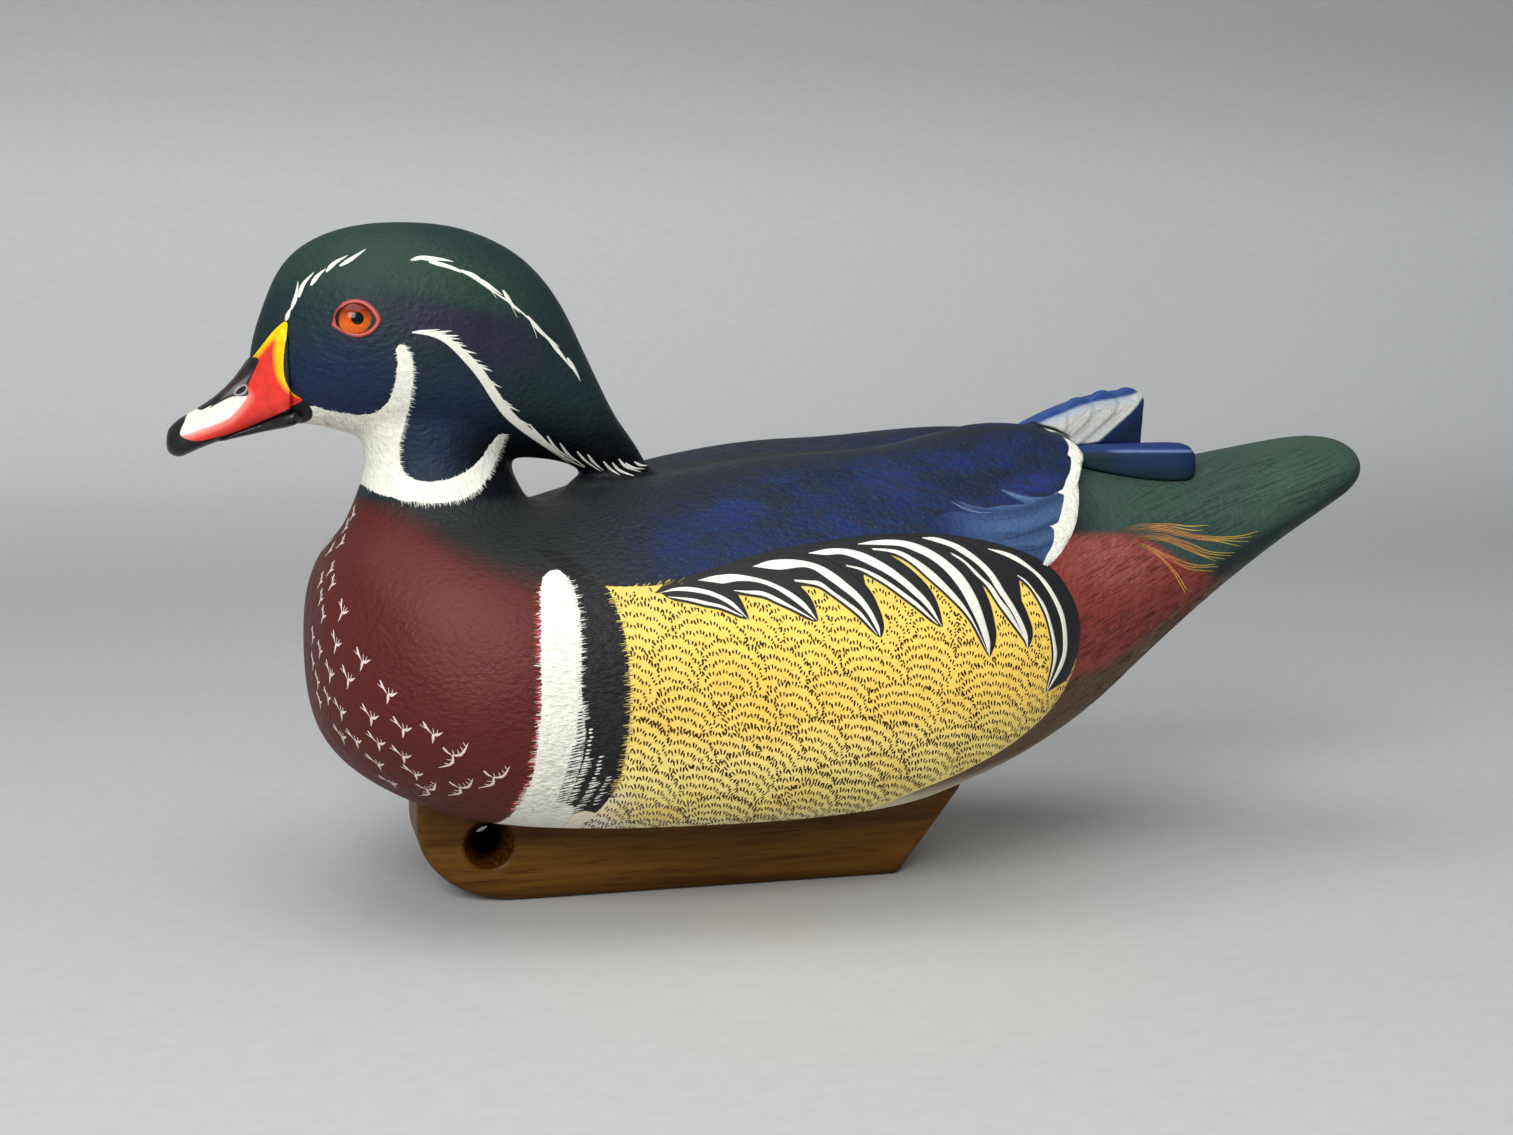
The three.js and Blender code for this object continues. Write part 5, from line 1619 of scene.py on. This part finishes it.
# The webs of the fan's feathers: each a line round its end and back along its lower edge
FAN_WEBS = [
    [(69.5, 135.7), (72.2, 136.7), (75.0, 136.5), (75.5, 135.6), (74.6, 133.5), (71.6, 131.6)],
    [(77.7, 137.0), (82.1, 138.2), (85.5, 138.2), (85.9, 136.6), (83.8, 134.2), (80.7, 131.5),
     (76.5, 129.0)],
    [(85.6, 138.4), (89.7, 139.4), (93.6, 139.5), (94.6, 138.5), (93.3, 136.0), (89.3, 132.6), (84.5, 129.2),
     (80.0, 126.8)],
]


def fan_strokes(surface, material):
    """Grey painted shadow along the edges of the fan's pale webs, and their fine barbs."""
    marks = Marks(surface)
    rng = np.random.default_rng(4)
    for line in FAN_WEBS:
        marks.lines([resampled(line, 25)], taper(25, 0.42, 0.1, 0.6), -1, FAN_WEB_SHADOW, 3, 0.05)
    spots = rng.uniform((72, 126), (98, 140), (420, 2))
    low = np.interp(spots[:, 0], [70, 74, 87.8, 93.4, 98.3], [121.5, 125.0, 128.6, 132.8, 136.5])
    top = np.interp(spots[:, 0], [69, 80.5, 93.2], [134.7, 138.4, 140.3])
    spots = spots[(spots[:, 1] > low + 0.8) & (spots[:, 1] < top - 2.5)]
    hairs(marks, rng, spots, (0.80, 0.60), 0.1, (1.5, 3.5), 0.1, -1, (0.52, 0.52, 0.46))
    return marks.piece("fan_strokes", material)


def wing_tips():
    material = wing_tip_material()
    surfaces = []
    for name, node, paint in (("wing_tip_fan", "primaries_left", fan_paint),
                              ("wing_tip_bundle", "primaries_right", bundle_paint)):
        points, quads = fused((node,), TIP_VOXEL, 0.2, grow=0.16)
        points = Links(quads, len(points)).relax(points, 8, 0.5)
        piece = mesh_object(name, points, quads, [material])
        set_colours(piece, "paint", paint(*points.T))
        part_of(piece, "painted_wood", node)
        surfaces.append(Surface(points, quads))
    return surfaces[0]


# Keel

def varnish_material():
    """Amber varnish over straight grain along the keel, darker in its pores and round the cord hole, with
    painted shade inside the hole and along the bottom edge.
    """
    material, tree, shader = new_material(
        "varnished_wood", Roughness=0.45, Specular_IOR_Level=0.1, Coat_Weight=0.07, Coat_Roughness=0.15)
    flow = noise(tree, 60.0, 4.0, along=(0.18, 1.0, 1.0), turn=(0.0, 0.06, 0.0))
    lines = noise(tree, 420.0, 5.0, along=(0.05, 1.0, 1.0), turn=(0.0, 0.05, 0.0), rough=0.65)
    pores = noise(tree, 1500.0, 2.0, along=(0.06, 1.0, 1.0), turn=(0.0, 0.04, 0.0))
    look = blend(tree, stretch(tree, flow, 0.3, 0.7), colour(0.060, 0.020, 0.002),
                 colour(0.122, 0.048, 0.005))
    look = blend(tree, stretch(tree, lines, 0.35, 0.7, 0.0, 0.6), look, colour(0.185, 0.082, 0.012))
    look = blend(tree, stretch(tree, pores, 0.58, 0.72, 0.0, 0.55), look, colour(0.022, 0.008, 0.002))
    look = blend(tree, attribute(tree, "dark"), look, colour(0.012, 0.004, 0.001))
    tree.links.new(stretch(tree, attribute(tree, "dark"), 0.2, 0.5, 0.07, 0.0), shader.inputs["Coat Weight"])
    tree.links.new(look, shader.inputs["Base Color"])
    paint_bump(tree, shader, reckon(tree, "ADD", lines, pores), 0.12)
    return material


def keel():
    points, quads = fused(("keel",), KEEL_VOXEL, 0.5, grow=0.1)
    points = Links(quads, len(points)).relax(points, 6, 0.5)
    x, y, z = points.T
    raised = ramp(z, 24.5, 26.6)
    points[:, 2] = z + raised * (0.8 + 8.0 * ramp(x, -92, -116))
    rough = np.sin(x * 1.7 + 3 * np.sin(z * 1.1)) * np.sin(z * 2.1 + x)
    hole = np.hypot(x - HOLE[0], z - HOLE[1])
    near_rim = ramp(np.abs(hole - 6.8), 1.6, 0.2)
    points[:, 1] += np.sign(y) * -0.35 * near_rim * (0.5 + 0.5 * rough)
    piece = mesh_object("varnished_keel", points, quads, [varnish_material()])
    inside_hole = ramp(hole, 7.4, 6.4) * ramp(np.abs(y), 15.2, 13.5)
    # Painted shade inside the cord hole and along the keel's bottom edge, and a darker ring round the hole's
    # mouth
    dark = 0.3 * ramp(hole, 8.6, 7.0) + 0.8 * inside_hole + 0.55 * ramp(points[:, 2], 7.0, 0.5)
    set_numbers(piece, "dark", np.clip(dark, 0, 0.97))
    part_of(piece, "varnished_wood", "keel")
    cord_bore()


def bare_wood_material():
    material, tree, shader = new_material("bare_wood", Roughness=1.0, Specular_IOR_Level=0.0)
    fibres = noise(tree, 900.0, 4.0, along=(1.0, 0.2, 1.0))
    wood = blend(tree, stretch(tree, fibres, 0.35, 0.65), colour(0.040, 0.010, 0.002),
                 colour(0.110, 0.036, 0.004))
    # The bore's painted shade and painted light, stored as dark
    look = blend(tree, attribute(tree, "dark"), wood, colour(0.002, 0.001, 0.0005))
    tree.links.new(look, shader.inputs["Base Color"])
    paint_bump(tree, shader, fibres, 0.8, 0.0006)
    return material


# The bore's radius and depth, from its wide mouth to its narrow end
BORE = [
    (7.3, -13.2), (6.7, -13.4), (6.2, -12.6), (5.2, -10.6), (4.4, -9.0), (3.75, -8.2), (3.72, 0.0),
    (3.72, 14.2), (7.3, 14.2),
]


def cord_bore():
    """The rough drilled funnel and the narrow bore that the keel's hole goes on as."""
    rows, around = len(BORE), 72
    turn = np.linspace(0, 2 * math.pi, around, endpoint=False)
    radius, y = (np.array(column)[:, None] + 0 * turn for column in zip(*BORE))
    rough = 0.22 * np.sin(5 * turn + 1) + 0.16 * np.sin(11 * turn) + 0.1 * np.sin(23 * turn + 2)
    radius[1:5] += np.abs(rough) * np.array([0.6, 1.0, 1.0, 0.8])[:, None]
    points = np.stack([HOLE[0] + radius * np.cos(turn), y, HOLE[1] + radius * np.sin(turn)], axis=-1)
    index = np.arange(rows * around).reshape(rows, around)
    shut = np.stack([index[-1], index[0], np.roll(index[0], -1), np.roll(index[-1], -1)], axis=-1)
    faces = np.concatenate([ring_grid(rows, around), shut])
    if signed_volume(points.reshape(-1, 3), faces) < 0:
        faces = faces[:, ::-1]
    piece = mesh_object("keel_bore", points.reshape(-1, 3), faces, [bare_wood_material()])
    # Painted shade that deepens into the bore, with painted light on the side of its wall that faces the
    # lamps
    lit = ramp(np.cos(turn + 0.5), 0.2, 0.9)
    dark = np.array([0.1, 0.2, 0.35, 0.6, 0.9, 1.3, 1.3, 1.3, 1.3])[:, None] - 0.3 * lit
    set_numbers(piece, "dark", np.clip(dark, 0, 1).ravel())
    part_of(piece, "varnished_wood")


skin, cheek_heights = decoy_skin()
bill()
eyes(cheek_heights)
fan = wing_tips()
keel()
stroke_paint = mark_material()
head_lines(skin, stroke_paint)
feather_hairs(skin, stroke_paint)
breast_ticks(skin, stroke_paint)
flank_feathers(skin, stroke_paint)
flank_waves(skin, stroke_paint)
rear_strokes(skin, stroke_paint)
plumes(skin, stroke_paint)
fan_strokes(fan, stroke_paint)


# Camera, light and floor

CAMERA_AZIMUTH = -14.0
CAMERA_ELEVATION = 8.0
CAMERA_TARGET = (-15.335, 0.0, 91.660)
CAMERA_DISTANCE = 646.354
FOCAL_PIXELS = 2200.0
PHOTO_WIDTH = 1513.0


def add_camera():
    azimuth = math.radians(CAMERA_AZIMUTH)
    elevation = math.radians(CAMERA_ELEVATION)
    back = Vector((
        math.sin(azimuth) * math.cos(elevation),
        -math.cos(azimuth) * math.cos(elevation),
        math.sin(elevation),
    ))
    data = bpy.data.cameras.new("camera")
    data.sensor_width = 36.0
    data.lens = 36.0 * FOCAL_PIXELS / PHOTO_WIDTH
    camera = bpy.data.objects.new("camera", data)
    camera.location = (Vector(CAMERA_TARGET) + back * CAMERA_DISTANCE) * MM
    camera.rotation_euler = (-back).to_track_quat("-Z", "Y").to_euler()
    bpy.context.scene.collection.objects.link(camera)
    bpy.context.scene.camera = camera


def add_light(name, at, aim, size, power, tint=(1, 1, 1)):
    data = bpy.data.lights.new(name, "AREA")
    data.shape = "RECTANGLE"
    data.size, data.size_y = size
    data.energy = power
    data.color = tint
    light = bpy.data.objects.new(name, data)
    light.location = at
    light.rotation_euler = (Vector(aim) - Vector(at)).to_track_quat("-Z", "Y").to_euler()
    bpy.context.scene.collection.objects.link(light)


def add_stage():
    """A pale sheet: a floor that bends up into a wall behind, with painted light low on the wall."""
    half_width, front, bend_at, radius, top = 3.0, -2.5, 1.0, 0.5, 3.0
    profile = [(front, 0.0), (bend_at, 0.0)]
    for step in range(1, 13):
        angle = math.radians(90 * step / 12)
        profile.append((bend_at + radius * math.sin(angle), radius * (1 - math.cos(angle))))
    profile.append((bend_at + radius, top))
    points = [(side * half_width / MM, y / MM, z / MM) for y, z in profile for side in (-1, 1)]
    faces = np.array([(2 * i, 2 * i + 1, 2 * i + 3, 2 * i + 2) for i in range(len(profile) - 1)])
    paper, tree, shader = new_material("pale_paper", Roughness=0.9)
    grain = put(tree, "TexNoise", Scale=900.0, Detail=2.0)
    tone = put(tree, "ValToRGB", Fac=grain)
    low, high = tone.node.color_ramp.elements
    low.color = colour(0.44, 0.44, 0.435)
    high.color = colour(0.50, 0.50, 0.495)
    place = put(tree, "SeparateXYZ", _0=put(tree, "TexCoord").node.outputs["Object"]).node.outputs
    # Painted light on the wall: brighter towards the back and low down, fading towards the top
    lift = reckon(tree, "MULTIPLY", stretch(tree, place["Y"], 0.5, 1.2, 0.0, 0.55),
                  stretch(tree, place["Z"], 0.2, 0.44, 1.0, 0.15))
    wall = reckon(tree, "ADD", lift, 1.0)
    tree.links.new(blend(tree, 1.0, tone, wall, "MULTIPLY"), shader.inputs["Base Color"])
    mesh_object("floor", points, faces, [paper])


def add_world():
    world = bpy.data.worlds.new("studio")
    world.use_nodes = True
    background = world.node_tree.nodes["Background"]
    background.inputs["Color"].default_value = colour(0.9, 0.95, 1.0)
    background.inputs["Strength"].default_value = 0.33
    bpy.context.scene.world = world


add_camera()
add_stage()
add_world()
add_light("overhead", (-0.2, -0.25, 1.3), (0, 0, 0.1), (1.3, 0.9), 9.2)
add_light("front_left", (-0.65, -1.25, 0.86), (0, 0, 0.1), (0.8, 0.7), 22.0)
bpy.context.scene.view_settings.view_transform = "Standard"
